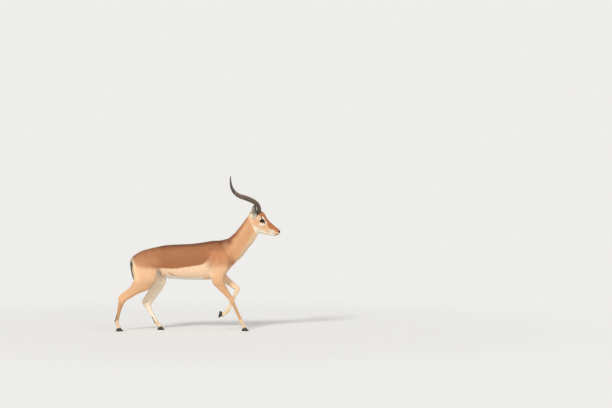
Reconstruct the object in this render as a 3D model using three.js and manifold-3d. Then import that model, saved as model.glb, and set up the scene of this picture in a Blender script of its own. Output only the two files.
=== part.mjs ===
// A life-size impala ram in a slow canter: three feet on the floor, the left forefoot lifted.
// Millimetres. +X is towards the nose, +Y is the animal's left, +Z is up, and the floor is z = 0.
// The body is lofted and joined whole, then parted with thin cuts into head, neck, trunk, legs and so on.
import * as THREE from "three";
import { mergeVertices } from "three/addons/utils/BufferGeometryUtils.js";
import Module from "manifold-3d";

const wasm = await Module();
wasm.setup();

const GAP = 0.3; // clearance left at every cut
const FAR = 4000; // half-spaces are boxes this large

// ---------------------------------------------------------------- driving dimensions

// Barrel of the trunk: vertical sections from the tail root to the breast.
const TRUNK = [
  { x: -554, top: 692, wide: 664, bottom: 634, half: 18 },
  { x: -540, top: 712, wide: 655, bottom: 592, half: 48 },
  { x: -505, top: 737, wide: 650, bottom: 554, half: 78 },
  { x: -455, top: 764, wide: 652, bottom: 552, half: 98 },
  { x: -385, top: 784, wide: 655, bottom: 564, half: 106 },
  { x: -286, top: 806, wide: 650, bottom: 566, half: 114 },
  { x: -263, top: 811, wide: 648, bottom: 514, half: 117 },
  { x: -205, top: 819, wide: 645, bottom: 506, half: 121 },
  { x: -100, top: 824, wide: 638, bottom: 486, half: 131 },
  { x: 10, top: 828, wide: 638, bottom: 481, half: 134 },
  { x: 120, top: 842, wide: 650, bottom: 481, half: 127 },
  { x: 205, top: 857, wide: 672, bottom: 486, half: 112 },
  { x: 285, top: 862, wide: 690, bottom: 505, half: 96 },
  { x: 345, top: 850, wide: 700, bottom: 545, half: 80 },
  { x: 388, top: 800, wide: 690, bottom: 598, half: 56 },
  { x: 422, top: 745, wide: 685, bottom: 634, half: 26 },
];

// Neck: sections square to a rising centre line, with the reach to the nape and to the throat.
const NECK = [
  { x: 262, z: 742, nape: 96, throat: 128, half: 84 },
  { x: 340, z: 765, nape: 106, throat: 156, half: 80 },
  { x: 408, z: 795, nape: 97, throat: 132, half: 72 },
  { x: 468, z: 843, nape: 95, throat: 108, half: 63 },
  { x: 525, z: 908, nape: 92, throat: 103, half: 56 },
  { x: 574, z: 975, nape: 90, throat: 92, half: 52 },
  { x: 608, z: 1035, nape: 83, throat: 78, half: 46 },
  { x: 622, z: 1068, nape: 75, throat: 40, half: 28 },
];

// Head frame: along the skull from the back of the cranium to the nose, pitched nose down.
const HEAD_AT = new THREE.Vector3(598, 0, 1060);
const HEAD_PITCH = THREE.MathUtils.degToRad(25.8);
const SKULL = [
  { a: -54, top: 46, wide: 26, bottom: 2, half: 16 },
  { a: -42, top: 72, wide: 28, bottom: -24, half: 36 },
  { a: -16, top: 90, wide: 30, bottom: -40, half: 44 },
  { a: 18, top: 101, wide: 30, bottom: -54, half: 48 },
  { a: 50, top: 107, wide: 32, bottom: -62, half: 52 },
  { a: 82, top: 94, wide: 30, bottom: -64, half: 53 },
  { a: 112, top: 68, wide: 18, bottom: -62, half: 46 },
  { a: 150, top: 51, wide: 6, bottom: -57, half: 38 },
  { a: 195, top: 38, wide: -2, bottom: -51, half: 31 },
  { a: 235, top: 28, wide: -6, bottom: -45, half: 27.5 },
  { a: 262, top: 23, wide: -7, bottom: -40, half: 28 },
  { a: 279, top: 14, wide: -8, bottom: -32, half: 23 },
  { a: 287, top: 3, wide: -9, bottom: -22, half: 12 },
];
const JAW = [
  { a: 6, top: -20, wide: -42, bottom: -70, half: 25 },
  { a: 40, top: -12, wide: -46, bottom: -88, half: 34 },
  { a: 85, top: -8, wide: -46, bottom: -96, half: 37 },
  { a: 130, top: -10, wide: -44, bottom: -88, half: 33 },
  { a: 180, top: -14, wide: -40, bottom: -74, half: 27 },
  { a: 225, top: -16, wide: -36, bottom: -63, half: 24 },
  { a: 254, top: -18, wide: -35, bottom: -58, half: 22.5 },
  { a: 269, top: -24, wide: -38, bottom: -52, half: 14 },
];
const EYE = { a: 84, side: 41, h: 29, radius: 18.5 };
const BROW = { a: 80, side: 37, h: 33, long: 40, wide: 19, high: 29 };
const CHEEK = { a: 62, side: 27, h: -34, long: 58, wide: 16, high: 48 };

// Ear: a leaf rolled about its own axis, rising from its root and open to the side.
const EAR = {
  root: [-12, 36, 22],
  rise: [0.15, 0.65, 0.75],
  open: [0.62, 0.6, -0.5],
  length: 140,
  parted: 46,
  wall: 4.5,
  rows: 8,
  columns: 6,
};
const EAR_PROFILE = [
  { t: 0, radius: 17, roll: 168 },
  { t: 0.15, radius: 19, roll: 160 },
  { t: 0.35, radius: 29, roll: 112 },
  { t: 0.55, radius: 31, roll: 82 },
  { t: 0.75, radius: 27, roll: 64 },
  { t: 0.9, radius: 18, roll: 50 },
  { t: 1, radius: 7, roll: 38 },
];

// Horn: the lyre's centre line on the left side, from inside the skull to the tip.
const HORN_LINE = [
  [650, 24, 1108],
  [659, 30, 1140],
  [652, 42, 1178],
  [634, 58, 1208],
  [604, 78, 1230],
  [566, 98, 1248],
  [525, 116, 1264],
  [478, 131, 1279],
  [440, 143, 1301],
  [412, 151, 1331],
  [395, 154, 1366],
  [387, 153, 1402],
  [384, 149, 1438],
  [384, 143, 1470],
];
const HORN = { root: 19.5, shaft: 19, tip: 3, ridges: 14, ridged: 0.68, depth: 1.9, sides: 8 };

// Upper limbs run down from the blade or the hip as sections square to their line:
// x, z, y outwards from the middle, reach forward, reach back, half width.
// Below them the cannon is set by its joints, the coronet (top of the hoof) last.
const FORE_RIGHT = {
  side: -1,
  upper: [
    [226, 818, 34, 22, 22, 10],
    [238, 778, 48, 60, 60, 30],
    [256, 718, 57, 84, 86, 44],
    [272, 652, 64, 106, 100, 52],
    [272, 590, 69, 92, 92, 50],
    [264, 532, 76, 68, 80, 42],
    [278, 470, 79, 46, 64, 33],
    [306, 426, 76, 36, 47, 28],
    [339, 380, 71, 29, 38, 23],
    [375, 328, 66, 23, 26, 19.5],
  ],
  joint: [396, 298, 64],
  fetlock: [491, 88, 56],
  coronet: [518, 36, 53],
  toe: 0,
};
const FORE_LEFT = {
  side: 1,
  upper: [
    [236, 820, 34, 22, 22, 10],
    [248, 782, 48, 60, 60, 30],
    [264, 724, 57, 84, 86, 44],
    [282, 664, 64, 104, 104, 52],
    [284, 610, 69, 88, 94, 50],
    [284, 556, 76, 62, 66, 42],
    [312, 505, 80, 42, 50, 33],
    [346, 474, 79, 35, 38, 28],
    [384, 443, 75, 34, 31, 23],
    [425, 413, 72, 31, 25, 19.5],
  ],
  joint: [452, 393, 70],
  fetlock: [357, 181, 70],
  coronet: [309, 147, 70],
  toe: 104,
};
const HIND_RIGHT = {
  side: -1,
  upper: [
    [-452, 752, 40, 24, 24, 10],
    [-450, 712, 54, 84, 74, 40],
    [-442, 644, 62, 122, 106, 52],
    [-436, 572, 68, 130, 113, 54],
    [-440, 505, 75, 122, 98, 50],
    [-470, 446, 82, 92, 78, 42],
    [-512, 404, 86, 56, 58, 34],
    [-552, 370, 88, 44, 46, 27],
    [-594, 337, 88, 36, 38, 22],
    [-628, 313, 88, 33, 33, 21],
  ],
  calf: [-542, 412, 86],
  joint: [-648, 292, 88],
  fetlock: [-696, 86, 86],
  coronet: [-674, 36, 85],
  toe: 0,
};
const HIND_LEFT = {
  side: 1,
  upper: [
    [-446, 752, 40, 24, 24, 10],
    [-440, 712, 54, 84, 78, 40],
    [-420, 644, 63, 118, 108, 52],
    [-385, 580, 71, 124, 118, 54],
    [-340, 515, 80, 118, 106, 50],
    [-320, 455, 86, 95, 84, 42],
    [-335, 400, 90, 66, 54, 33],
    [-364, 349, 92, 57, 42, 26],
    [-391, 302, 92, 51, 38, 22],
    [-406, 268, 92, 45, 34, 21],
  ],
  calf: [-364, 392, 91],
  joint: [-415, 246, 92],
  fetlock: [-322, 72, 93],
  coronet: [-286, 36, 94],
  toe: 0,
};

// Below the carpus or hock: bone, share of the way down it, reach forward, reach back, half width.
const FORE_CANNON = [
  ["joint", "fetlock", 0, 23, 23, 21],
  ["joint", "fetlock", 0.08, 21, 20, 19],
  ["joint", "fetlock", 0.2, 16.5, 18, 15.5],
  ["joint", "fetlock", 0.5, 14.5, 17, 13.5],
  ["joint", "fetlock", 0.8, 14.5, 17.5, 13.5],
  ["joint", "fetlock", 0.96, 17.5, 21, 17.5],
  ["fetlock", "coronet", 0.15, 16.5, 20, 17],
  ["fetlock", "coronet", 0.6, 16, 17, 17],
  ["fetlock", "coronet", 1.3, 20, 18, 21],
];
const HIND_CANNON = [
  ["joint", "fetlock", 0.02, 36, 32, 21],
  ["joint", "fetlock", 0.12, 31, 30, 20],
  ["joint", "fetlock", 0.26, 22, 25, 16.5],
  ["joint", "fetlock", 0.5, 16, 21, 14],
  ["joint", "fetlock", 0.8, 15.5, 18, 14],
  ["joint", "fetlock", 0.96, 18, 22, 18],
  ["fetlock", "coronet", 0.15, 17, 21, 17],
  ["fetlock", "coronet", 0.6, 16, 17, 17],
  ["fetlock", "coronet", 1.3, 20, 18, 21],
];

// Hoof: one claw lofted from heel to toe on a flat sole; two claws make a foot.
const CLAW = [
  { x: -27, top: 18, half: 5 },
  { x: -20, top: 34, half: 8.5 },
  { x: -4, top: 44, half: 10 },
  { x: 10, top: 40, half: 10 },
  { x: 22, top: 25, half: 8.8 },
  { x: 33, top: 11, half: 5.5 },
  { x: 39, top: 3, half: 1.6 },
];
const CLAW_SPREAD = 10.6; // from the foot's middle to a claw's middle
const SOLE_TO_CORONET = 36; // height of the coronet's centre over the sole

// ---------------------------------------------------------------- solids

// A closed geometry as a manifold, with its shared vertices merged.
function solid(geometry) {
  const bare = geometry.index ? geometry.toNonIndexed() : geometry.clone();
  bare.deleteAttribute("normal");
  bare.deleteAttribute("uv");
  const merged = mergeVertices(bare, 1e-3);
  return new wasm.Manifold(
    new wasm.Mesh({
      numProp: 3,
      vertProperties: new Float32Array(merged.attributes.position.array),
      triVerts: new Uint32Array(merged.index.array),
    }),
  );
}

function union(solids) {
  return solids.reduce((whole, part) => whole.add(part));
}

// Joins rings of points into a closed skin; the first and last ring are closed by fans.
function skinRings(rings) {
  const count = rings[0].length;
  const points = rings.flat();
  const centres = [rings[0], rings.at(-1)].map((ring) =>
    ring.reduce((sum, p) => sum.add(p), new THREE.Vector3()).divideScalar(count),
  );
  const index = [];
  for (let i = 0; i < rings.length - 1; i++)
    for (let j = 0; j < count; j++) {
      const k = (j + 1) % count;
      const [a, b, c, d] = [i * count + j, i * count + k, (i + 1) * count + j, (i + 1) * count + k];
      index.push(a, b, d, a, d, c);
    }
  const first = points.push(centres[0]) - 1;
  const last = points.push(centres[1]) - 1;
  const lastRing = (rings.length - 1) * count;
  for (let j = 0; j < count; j++) {
    const k = (j + 1) % count;
    index.push(first, k, j, last, lastRing + j, lastRing + k);
  }
  const geometry = new THREE.BufferGeometry().setFromPoints(points).setIndex(index);
  const made = solid(geometry);
  if (made.volume() > 0) return made;
  geometry.setIndex(index.reverse());
  return solid(geometry);
}

// A section's outline: a rounded oval with its own reach up, down and to each side.
function ovalRing(centre, up, side, reach, sides, square) {
  return Array.from({ length: sides }, (_, j) => {
    const angle = (2 * Math.PI * j) / sides;
    const [c, s] = [Math.cos(angle), Math.sin(angle)];
    const rise = Math.sign(c) * Math.abs(c) ** (2 / square) * (c > 0 ? reach.x : reach.y);
    const out = Math.sign(s) * Math.abs(s) ** (2 / square) * reach.z;
    return centre.clone().addScaledVector(up, rise).addScaledVector(side, out);
  });
}

// Loft through stations { at, up, down, half }, smooth between them. Sections stand square to
// the line, or to a fixed axis; a section's up direction lies in the animal's upright plane.
function loft(stations, { steps = 2, sides = 16, square = 2.15, axis = null, flip = 1 } = {}) {
  const line = new THREE.CatmullRomCurve3(stations.map((s) => s.at));
  const reach = new THREE.CatmullRomCurve3(
    stations.map((s) => new THREE.Vector3(s.up, s.down, s.half)),
    false,
    "catmullrom",
    0.5,
  );
  const count = (stations.length - 1) * steps;
  return skinRings(
    Array.from({ length: count + 1 }, (_, i) => {
      const along = axis ?? line.getTangent(i / count);
      const up = new THREE.Vector3(-along.z, 0, along.x).normalize().multiplyScalar(flip);
      const side = new THREE.Vector3().crossVectors(along, up).normalize();
      return ovalRing(line.getPoint(i / count), up, side, reach.getPoint(i / count), sides, square);
    }),
  );
}

// An ellipsoid of muscle: long lies along the line from tail to nose, pitched nose down.
function muscle(at, long, wide, high, pitch = 0) {
  const ball = new THREE.SphereGeometry(1, 10, 8);
  ball.scale(long, wide, high);
  ball.rotateY(THREE.MathUtils.degToRad(pitch));
  ball.translate(...at);
  return solid(ball);
}

// Everything on the side of a plane that its normal points to.
function halfSpace([point, normal], grow) {
  const box = new THREE.BoxGeometry(FAR, FAR, FAR);
  box.translate(0, 0, FAR / 2 - grow);
  const turn = new THREE.Quaternion().setFromUnitVectors(
    new THREE.Vector3(0, 0, 1),
    new THREE.Vector3(...normal).normalize(),
  );
  box.applyQuaternion(turn);
  box.translate(...point);
  return solid(box);
}

function region(planes, grow) {
  return planes.map((plane) => halfSpace(plane, grow)).reduce((a, b) => a.intersect(b));
}

const mirror = ([x, y, z]) => [x, -y, z];
const mirrorPlanes = (planes) => planes.map(([p, n]) => [mirror(p), mirror(n)]);

// ---------------------------------------------------------------- trunk, neck and tail

function makeTrunk() {
  const barrel = TRUNK.map(({ x, top, wide, bottom, half }) => ({
    at: new THREE.Vector3(x, 0, wide),
    up: top - wide,
    down: wide - bottom,
    half,
  }));
  return loft(barrel, { sides: 22, steps: 1, square: 2.2, axis: new THREE.Vector3(1, 0, 0) });
}

function makeNeck() {
  const stations = NECK.map(({ x, z, nape, throat, half }) => ({
    at: new THREE.Vector3(x, 0, z),
    up: nape,
    down: throat,
    half,
  }));
  return loft(stations, { sides: 16, steps: 2 });
}

function makeTail() {
  const stations = [
    [-520, 688, 14, 15],
    [-545, 688, 13, 14],
    [-558, 666, 12, 13],
    [-560, 630, 12, 12],
    [-556, 590, 11, 13],
    [-549, 550, 10, 15],
    [-541, 515, 9, 14],
    [-534, 490, 6, 9],
    [-530, 474, 2, 3],
  ].map(([x, z, thick, half]) => ({ at: new THREE.Vector3(x, 0, z), up: thick, down: thick, half }));
  return loft(stations, { sides: 8, steps: 1 });
}

// The sheath runs under the belly's middle, and the scrotum hangs between the thighs.
function makeGroin() {
  return muscle([-180, 0, 506], 48, 14, 17, 4).add(muscle([-352, 0, 518], 26, 22, 68));
}

// ---------------------------------------------------------------- head

// A point of the head frame: a along the skull, side to the left, h upwards.
function onHead(a, side, h) {
  return new THREE.Vector3(a, side, h)
    .applyAxisAngle(new THREE.Vector3(0, 1, 0), HEAD_PITCH)
    .add(HEAD_AT);
}

function headLoft(stations, sides) {
  const axis = onHead(1, 0, 0).sub(HEAD_AT);
  const sections = stations.map(({ a, top, wide, bottom, half }) => ({
    at: onHead(a, 0, wide),
    up: top - wide,
    down: wide - bottom,
    half,
  }));
  return loft(sections, { sides, steps: 1, square: 2.3, axis });
}

function headMuscle({ a, side, h, long, wide, high }, hand) {
  const at = onHead(a, hand * side, h).toArray();
  return muscle(at, long, wide, high, THREE.MathUtils.radToDeg(HEAD_PITCH));
}

function makeHead() {
  const pairs = [1, -1].flatMap((hand) => [headMuscle(BROW, hand), headMuscle(CHEEK, hand)]);
  return union([headLoft(SKULL, 18), headLoft(JAW, 12), ...pairs]);
}

function makeEye(hand, grow) {
  const ball = new THREE.SphereGeometry(EYE.radius + grow, 10, 7);
  ball.translate(...onHead(EYE.a, hand * EYE.side, EYE.h).toArray());
  return solid(ball);
}

// Reads a profile's value at t by straight lines between its rows.
function profileAt(profile, t, key) {
  const i = Math.max(1, profile.findIndex((row) => row.t >= t));
  const [low, high] = [profile[i - 1], profile[i]];
  return THREE.MathUtils.mapLinear(t, low.t, high.t, low[key], high[key]);
}

function earRing(t) {
  const radius = profileAt(EAR_PROFILE, t, "radius");
  const roll = THREE.MathUtils.degToRad(profileAt(EAR_PROFILE, t, "roll"));
  const wall = EAR.wall * (1 - 0.45 * t);
  const arc = (r, j) => {
    const angle = roll * ((2 * j) / EAR.columns - 1);
    const flatten = radius * (1 - Math.cos(roll)) * 0.35;
    return new THREE.Vector3(r * Math.sin(angle), flatten - r * Math.cos(angle), EAR.length * t);
  };
  const outer = Array.from({ length: EAR.columns + 1 }, (_, j) => arc(radius, j));
  const inner = Array.from({ length: EAR.columns + 1 }, (_, j) => arc(radius - wall, EAR.columns - j));
  return [...outer, ...inner];
}

// The ear's own frame: its root at the origin, its tip along +Z and its opening towards +Y.
function placeEar(hand) {
  const onSide = ([x, y, z]) => new THREE.Vector3(x, hand * y, z);
  const rise = onSide(EAR.rise).normalize();
  const open = onSide(EAR.open);
  open.addScaledVector(rise, -open.dot(rise)).normalize();
  const across = new THREE.Vector3().crossVectors(open, rise);
  const [a, side, h] = EAR.root;
  return new THREE.Matrix4().makeBasis(across, open, rise).setPosition(onHead(a, hand * side, h));
}

function makeEar(hand) {
  const rings = Array.from({ length: EAR.rows + 1 }, (_, i) => earRing(i / EAR.rows));
  const place = placeEar(hand);
  return skinCrescents(rings.map((ring) => ring.map((p) => p.applyMatrix4(place))));
}

// Crescent rings are closed at their ends by a strip across the wall, not by a fan.
function skinCrescents(rings) {
  const count = rings[0].length;
  const index = [];
  for (let i = 0; i < rings.length - 1; i++)
    for (let j = 0; j < count; j++) {
      const k = (j + 1) % count;
      const [a, b, c, d] = [i * count + j, i * count + k, (i + 1) * count + j, (i + 1) * count + k];
      index.push(a, b, d, a, d, c);
    }
  const top = (rings.length - 1) * count;
  for (let j = 0; j < count / 2 - 1; j++) {
    const [a, b, c, d] = [j, j + 1, count - 1 - j, count - 2 - j];
    index.push(b, a, c, b, c, d, top + a, top + b, top + d, top + a, top + d, top + c);
  }
  const geometry = new THREE.BufferGeometry().setFromPoints(rings.flat()).setIndex(index);
  const made = solid(geometry);
  if (made.volume() > 0) return made;
  geometry.setIndex(index.reverse());
  return solid(geometry);
}

// The horn's radius swells at each ridge of the ringed part and tapers to a smooth tip.
function makeHorn(hand, grow) {
  const line = new THREE.CatmullRomCurve3(HORN_LINE.map(([x, y, z]) => new THREE.Vector3(x, hand * y, z)));
  const radiusAt = (t) => {
    const taper = THREE.MathUtils.lerp(HORN.root, HORN.shaft, Math.min(1, t / 0.4));
    return THREE.MathUtils.lerp(taper, HORN.tip, Math.max(0, (t - 0.4) / 0.6) ** 1.15);
  };
  const ringed = Array.from({ length: 2 * HORN.ridges + 1 }, (_, i) => ({
    t: (HORN.ridged * i) / (2 * HORN.ridges),
    swell: i % 2 ? HORN.depth : 0,
  }));
  const smooth = [0.74, 0.8, 0.86, 0.92, 0.97, 1].map((t) => ({ t, swell: 0 }));
  return skinRings(
    [...ringed, ...smooth].map(({ t, swell }) => {
      const along = line.getTangentAt(t);
      const side = new THREE.Vector3(0, 1, 0).cross(along).normalize();
      const up = new THREE.Vector3().crossVectors(along, side);
      const radius = radiusAt(t) + swell + grow;
      const reach = new THREE.Vector3(radius * 0.92, radius * 0.92, radius * 1.06);
      return ovalRing(line.getPointAt(t), up, side, reach, HORN.sides, 2);
    }),
  );
}

// ---------------------------------------------------------------- legs

// A joint written as x, z and distance outwards from the middle, as a point of the model.
const jointAt = (leg, [x, z, out]) => new THREE.Vector3(x, leg.side * out, z);

function makeLimb(leg, cannon) {
  const upper = leg.upper.map(([x, z, out, up, down, half]) => ({
    at: jointAt(leg, [x, z, out]),
    up,
    down,
    half,
  }));
  const lower = cannon.map(([from, to, share, up, down, half]) => ({
    at: jointAt(leg, leg[from]).lerp(jointAt(leg, leg[to]), share),
    up,
    down,
    half,
  }));
  return loft([...upper, ...lower], { sides: 12, steps: 1 });
}

// The heel bone stands up behind the hock, and the cord of the calf runs down to it.
function makeHeelCord(leg) {
  const hock = jointAt(leg, leg.joint);
  const calf = jointAt(leg, leg.calf);
  const shank = hock.clone().sub(jointAt(leg, leg.fetlock)).normalize();
  const behind = new THREE.Vector3(-shank.z, 0, shank.x);
  const heel = hock.clone().addScaledVector(shank, 40).addScaledVector(behind, 25);
  const rows = [
    [calf, 24, 17],
    [calf.clone().lerp(heel, 0.5), 16, 12],
    [heel.clone().lerp(calf, 0.1), 13, 12],
    [heel.clone().addScaledVector(shank, -14), 14, 13],
    [heel.clone().addScaledVector(shank, -46).addScaledVector(behind, -7), 13, 13],
    [heel.clone().addScaledVector(shank, -86).addScaledVector(behind, -18), 6, 9],
  ];
  return loft(
    rows.map(([at, thick, half]) => ({ at, up: thick, down: thick, half })),
    { sides: 8, steps: 1 },
  );
}

// A foot's own frame: sole on z = 0, toe to +X, its origin under the coronet.
function placeFoot(leg) {
  const pitch = THREE.MathUtils.degToRad(leg.toe);
  const down = new THREE.Vector3(0, 0, -SOLE_TO_CORONET).applyAxisAngle(new THREE.Vector3(0, 1, 0), pitch);
  return new THREE.Matrix4().makeRotationY(pitch).setPosition(jointAt(leg, leg.coronet).add(down));
}

function makeClaw(side, place) {
  const rings = CLAW.map(({ x, top, half }) =>
    Array.from({ length: 8 }, (_, j) => {
      const angle = (2 * Math.PI * j) / 8 + Math.PI / 8;
      const [c, s] = [Math.cos(angle), Math.sin(angle)];
      const y = half * Math.sign(c) * Math.abs(c) ** 0.8;
      return new THREE.Vector3(x, side * CLAW_SPREAD + y, s < 0 ? 0 : top * s ** 0.7).applyMatrix4(place);
    }),
  );
  return skinRings(rings);
}

// The plane of the coronet, leaning forwards as the hoof's top does, and the limits of the foot
// round it, in the foot's frame.
const CORONET_PLANE = [
  [0, 0, 32],
  [0.34, 0, -0.94],
];
const FOOT_LIMITS = [
  [[-60, 0, 0], [1, 0, 0]],
  [[70, 0, 0], [-1, 0, 0]],
  [[0, 60, 0], [0, -1, 0]],
  [[0, -60, 0], [0, 1, 0]],
  [[0, 0, -60], [0, 0, 1]],
];

// Planes written in a part's own frame, moved with the part onto the model.
function placePlanes(planes, place) {
  const turn = new THREE.Quaternion().setFromRotationMatrix(place);
  return planes.map(([at, normal]) => [
    new THREE.Vector3(...at).applyMatrix4(place).toArray(),
    new THREE.Vector3(...normal).applyQuaternion(turn).toArray(),
  ]);
}

function footRegion(leg, grow) {
  return region(placePlanes([CORONET_PLANE, ...FOOT_LIMITS], placeFoot(leg)), grow);
}

// ---------------------------------------------------------------- parting the body

const LEGS = {
  foreleg_right: FORE_RIGHT,
  foreleg_left: FORE_LEFT,
  hindleg_right: HIND_RIGHT,
  hindleg_left: HIND_LEFT,
};

// Each named piece of flesh is what lies inside its planes, taken in this order.
function pieceRegions() {
  const ear = placePlanes([[[0, 0, EAR.parted], [0, 0, 1]]], placeEar(1));
  const head = [[[556, 0, 1072], [0.888, 0, 0.46]]];
  const neck = [[[346, 0, 872], [0.924, 0, 0.383]]];
  const tail = [
    [[-551, 0, 690], [-0.985, 0, -0.17]],
    [[0, 36, 0], [0, -1, 0]],
    [[0, -36, 0], [0, 1, 0]],
    [[0, 0, 455], [0, 0, 1]],
  ];
  const shoulder = [
    [[0, 4, 0], [0, 1, 0]],
    [[0, 30, 480], [0, 0.95, -0.31]],
    [[146, 0, 600], [1, 0, -0.12]],
  ];
  const haunch = [
    [[0, 4, 0], [0, 1, 0]],
    [[0, 28, 480], [0, 0.95, -0.31]],
    [[-225, 0, 560], [-0.97, 0, -0.24]],
  ];
  return [
    ["ear_left", ear],
    ["ear_right", mirrorPlanes(ear)],
    ["head", head],
    ["neck", neck],
    ["tail", tail],
    ["foreleg_left", shoulder],
    ["foreleg_right", mirrorPlanes(shoulder)],
    ["hindleg_left", haunch],
    ["hindleg_right", mirrorPlanes(haunch)],
  ];
}

// ---------------------------------------------------------------- the model

const MATERIALS = {
  saddle: { color: 0xa9663c, roughness: 0.75 },
  flank: { color: 0xd9a878, roughness: 0.75 },
  tailHair: { color: 0xefe4d6, roughness: 0.8 },
  horn: { color: 0x3b302c, roughness: 0.5 },
  eye: { color: 0x120c0a, roughness: 0.08 },
  hoof: { color: 0x1d1a19, roughness: 0.4 },
};

const impala = new THREE.Group();

function addMesh(name, made, finish) {
  const mesh = made.getMesh();
  const geometry = new THREE.BufferGeometry();
  geometry.setAttribute("position", new THREE.BufferAttribute(mesh.vertProperties, 3));
  geometry.setIndex(new THREE.BufferAttribute(mesh.triVerts, 1));
  geometry.computeVertexNormals();
  const look = new THREE.MeshStandardMaterial({ ...MATERIALS[finish], metalness: 0 });
  const shown = new THREE.Mesh(geometry, look);
  shown.name = name;
  impala.add(shown);
}

let flesh = union([
  makeTrunk(),
  makeNeck(),
  makeTail(),
  makeGroin(),
  makeHead(),
  makeEar(1),
  makeEar(-1),
  makeLimb(FORE_RIGHT, FORE_CANNON),
  makeLimb(FORE_LEFT, FORE_CANNON),
  makeLimb(HIND_RIGHT, HIND_CANNON),
  makeLimb(HIND_LEFT, HIND_CANNON),
  makeHeelCord(HIND_RIGHT),
  makeHeelCord(HIND_LEFT),
]);

for (const [sideName, hand] of [["left", 1], ["right", -1]]) {
  flesh = flesh.subtract(makeEye(hand, GAP)).subtract(makeHorn(hand, GAP));
  addMesh(`eye_${sideName}`, makeEye(hand, 0), "eye");
  addMesh(`horn_${sideName}`, makeHorn(hand, 0), "horn");
}

for (const [legName, leg] of Object.entries(LEGS)) {
  flesh = flesh.subtract(footRegion(leg, GAP));
  for (const [clawName, side] of [["inner", -leg.side], ["outer", leg.side]]) {
    const claw = makeClaw(side, placeFoot(leg)).intersect(footRegion(leg, 0));
    addMesh(`hoof_${legName}_${clawName}`, claw, "hoof");
  }
}

for (const [name, planes] of pieceRegions()) {
  addMesh(name, flesh.intersect(region(planes, 0)), name === "tail" ? "tailHair" : "flank");
  flesh = flesh.subtract(region(planes, GAP));
}
addMesh("trunk", flesh, "saddle");

// The model's origin is on the floor under the middle of its bounding box.
const middle = new THREE.Box3().setFromObject(impala).getCenter(new THREE.Vector3());
for (const mesh of impala.children) mesh.geometry.translate(-middle.x, -middle.y, 0);

export default impala;
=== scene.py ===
import math
from functools import partial
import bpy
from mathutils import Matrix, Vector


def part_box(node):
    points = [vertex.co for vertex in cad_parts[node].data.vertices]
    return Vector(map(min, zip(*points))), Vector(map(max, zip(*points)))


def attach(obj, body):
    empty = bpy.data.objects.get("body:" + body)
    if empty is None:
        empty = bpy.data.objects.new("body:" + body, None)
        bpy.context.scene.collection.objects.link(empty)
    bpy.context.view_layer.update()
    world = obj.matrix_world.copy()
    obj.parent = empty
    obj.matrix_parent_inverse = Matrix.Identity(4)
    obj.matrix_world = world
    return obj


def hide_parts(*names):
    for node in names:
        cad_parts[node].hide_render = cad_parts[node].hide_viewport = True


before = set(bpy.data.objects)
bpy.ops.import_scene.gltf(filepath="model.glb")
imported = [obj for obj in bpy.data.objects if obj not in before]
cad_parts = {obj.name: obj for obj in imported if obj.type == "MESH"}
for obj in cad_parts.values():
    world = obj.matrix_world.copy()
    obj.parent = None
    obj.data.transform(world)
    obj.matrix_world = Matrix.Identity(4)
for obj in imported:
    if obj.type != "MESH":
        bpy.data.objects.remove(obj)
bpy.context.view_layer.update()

from types import SimpleNamespace

import bmesh
import bpy
import numpy as np
from mathutils import Matrix, Vector
from mathutils.bvhtree import BVHTree

# A life-size impala ram. One skin is made from the solids of flesh, then sculpted, marked and
# covered with a short coat of tufts that lie along the body.

sides = {"left": 1, "right": -1}
bothSides = (1, -1)
legNames = ["foreleg_left", "foreleg_right", "hindleg_left", "hindleg_right"]
fleshNodes = ["head", "neck", "trunk", "tail", "ear_left", "ear_right", *legNames]


def sideOf(name):
    return sides["left" if "left" in name else "right"]


def linear(hexColour):
    parts = np.array([int(hexColour[i : i + 2], 16) / 255 for i in (0, 2, 4)])
    return np.where(parts <= 0.04045, parts / 12.92, ((parts + 0.055) / 1.055) ** 2.4)


def rgba(hexColour):
    return (*linear(hexColour), 1.0)


# Sets a node's inputs, or links them to a socket or to the first output of another node.
def wire(node, inputs):
    for name, value in inputs.items():
        if isinstance(value, bpy.types.Node):
            value = next(socket for socket in value.outputs if socket.enabled)
        if isinstance(value, bpy.types.NodeSocket):
            node.id_data.links.new(value, node.inputs[name])
        else:
            node.inputs[name].default_value = value


# Adds a node: a shader's, unless its kind is given in full.
def addNode(tree, kind, inputs=None, **settings):
    node = tree.nodes.new(kind if "Node" in kind else "ShaderNode" + kind)
    for name, value in settings.items():
        setattr(node, name, value)
    wire(node, inputs or {})
    return node


def linked(name, data):
    made = bpy.data.objects.new(name, data)
    bpy.context.scene.collection.objects.link(made)
    return made


def meshObject(name, points, faces):
    mesh = bpy.data.meshes.new(name)
    mesh.from_pydata(points, [], faces)
    mesh.shade_smooth()
    return linked(name, mesh)


# The object's mesh with its modifiers applied. The object itself goes.
def taken(holder):
    graph = bpy.context.evaluated_depsgraph_get()
    made = bpy.data.meshes.new_from_object(holder.evaluated_get(graph))
    bpy.data.objects.remove(holder)
    return made


def modified(mesh, kind, **settings):
    holder = linked("holder", mesh)
    modifier = holder.modifiers.new(kind, kind)
    for name, value in settings.items():
        setattr(modifier, name, value)
    return taken(holder)


def formOf(mesh):
    form = bmesh.new()
    form.from_mesh(mesh)
    return form


def meshOf(form, mesh=None):
    mesh = mesh or bpy.data.meshes.new("form")
    form.to_mesh(mesh)
    form.free()
    return mesh


def merge(form, other):
    mesh = meshOf(other)
    form.from_mesh(mesh)
    bpy.data.meshes.remove(mesh)


def faceOutward(mesh, weld=0):
    form = formOf(mesh)
    if weld:
        bmesh.ops.remove_doubles(form, verts=form.verts, dist=weld)
    bmesh.ops.recalc_face_normals(form, faces=form.faces)
    meshOf(form, mesh)


def triangleCount(mesh):
    return len(mesh.loops) - 2 * len(mesh.polygons)


def readRows(values, key, width=3, kind=float):
    flat = np.empty(len(values) * width, kind)
    values.foreach_get(key, flat)
    return flat.reshape(-1, width)


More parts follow.
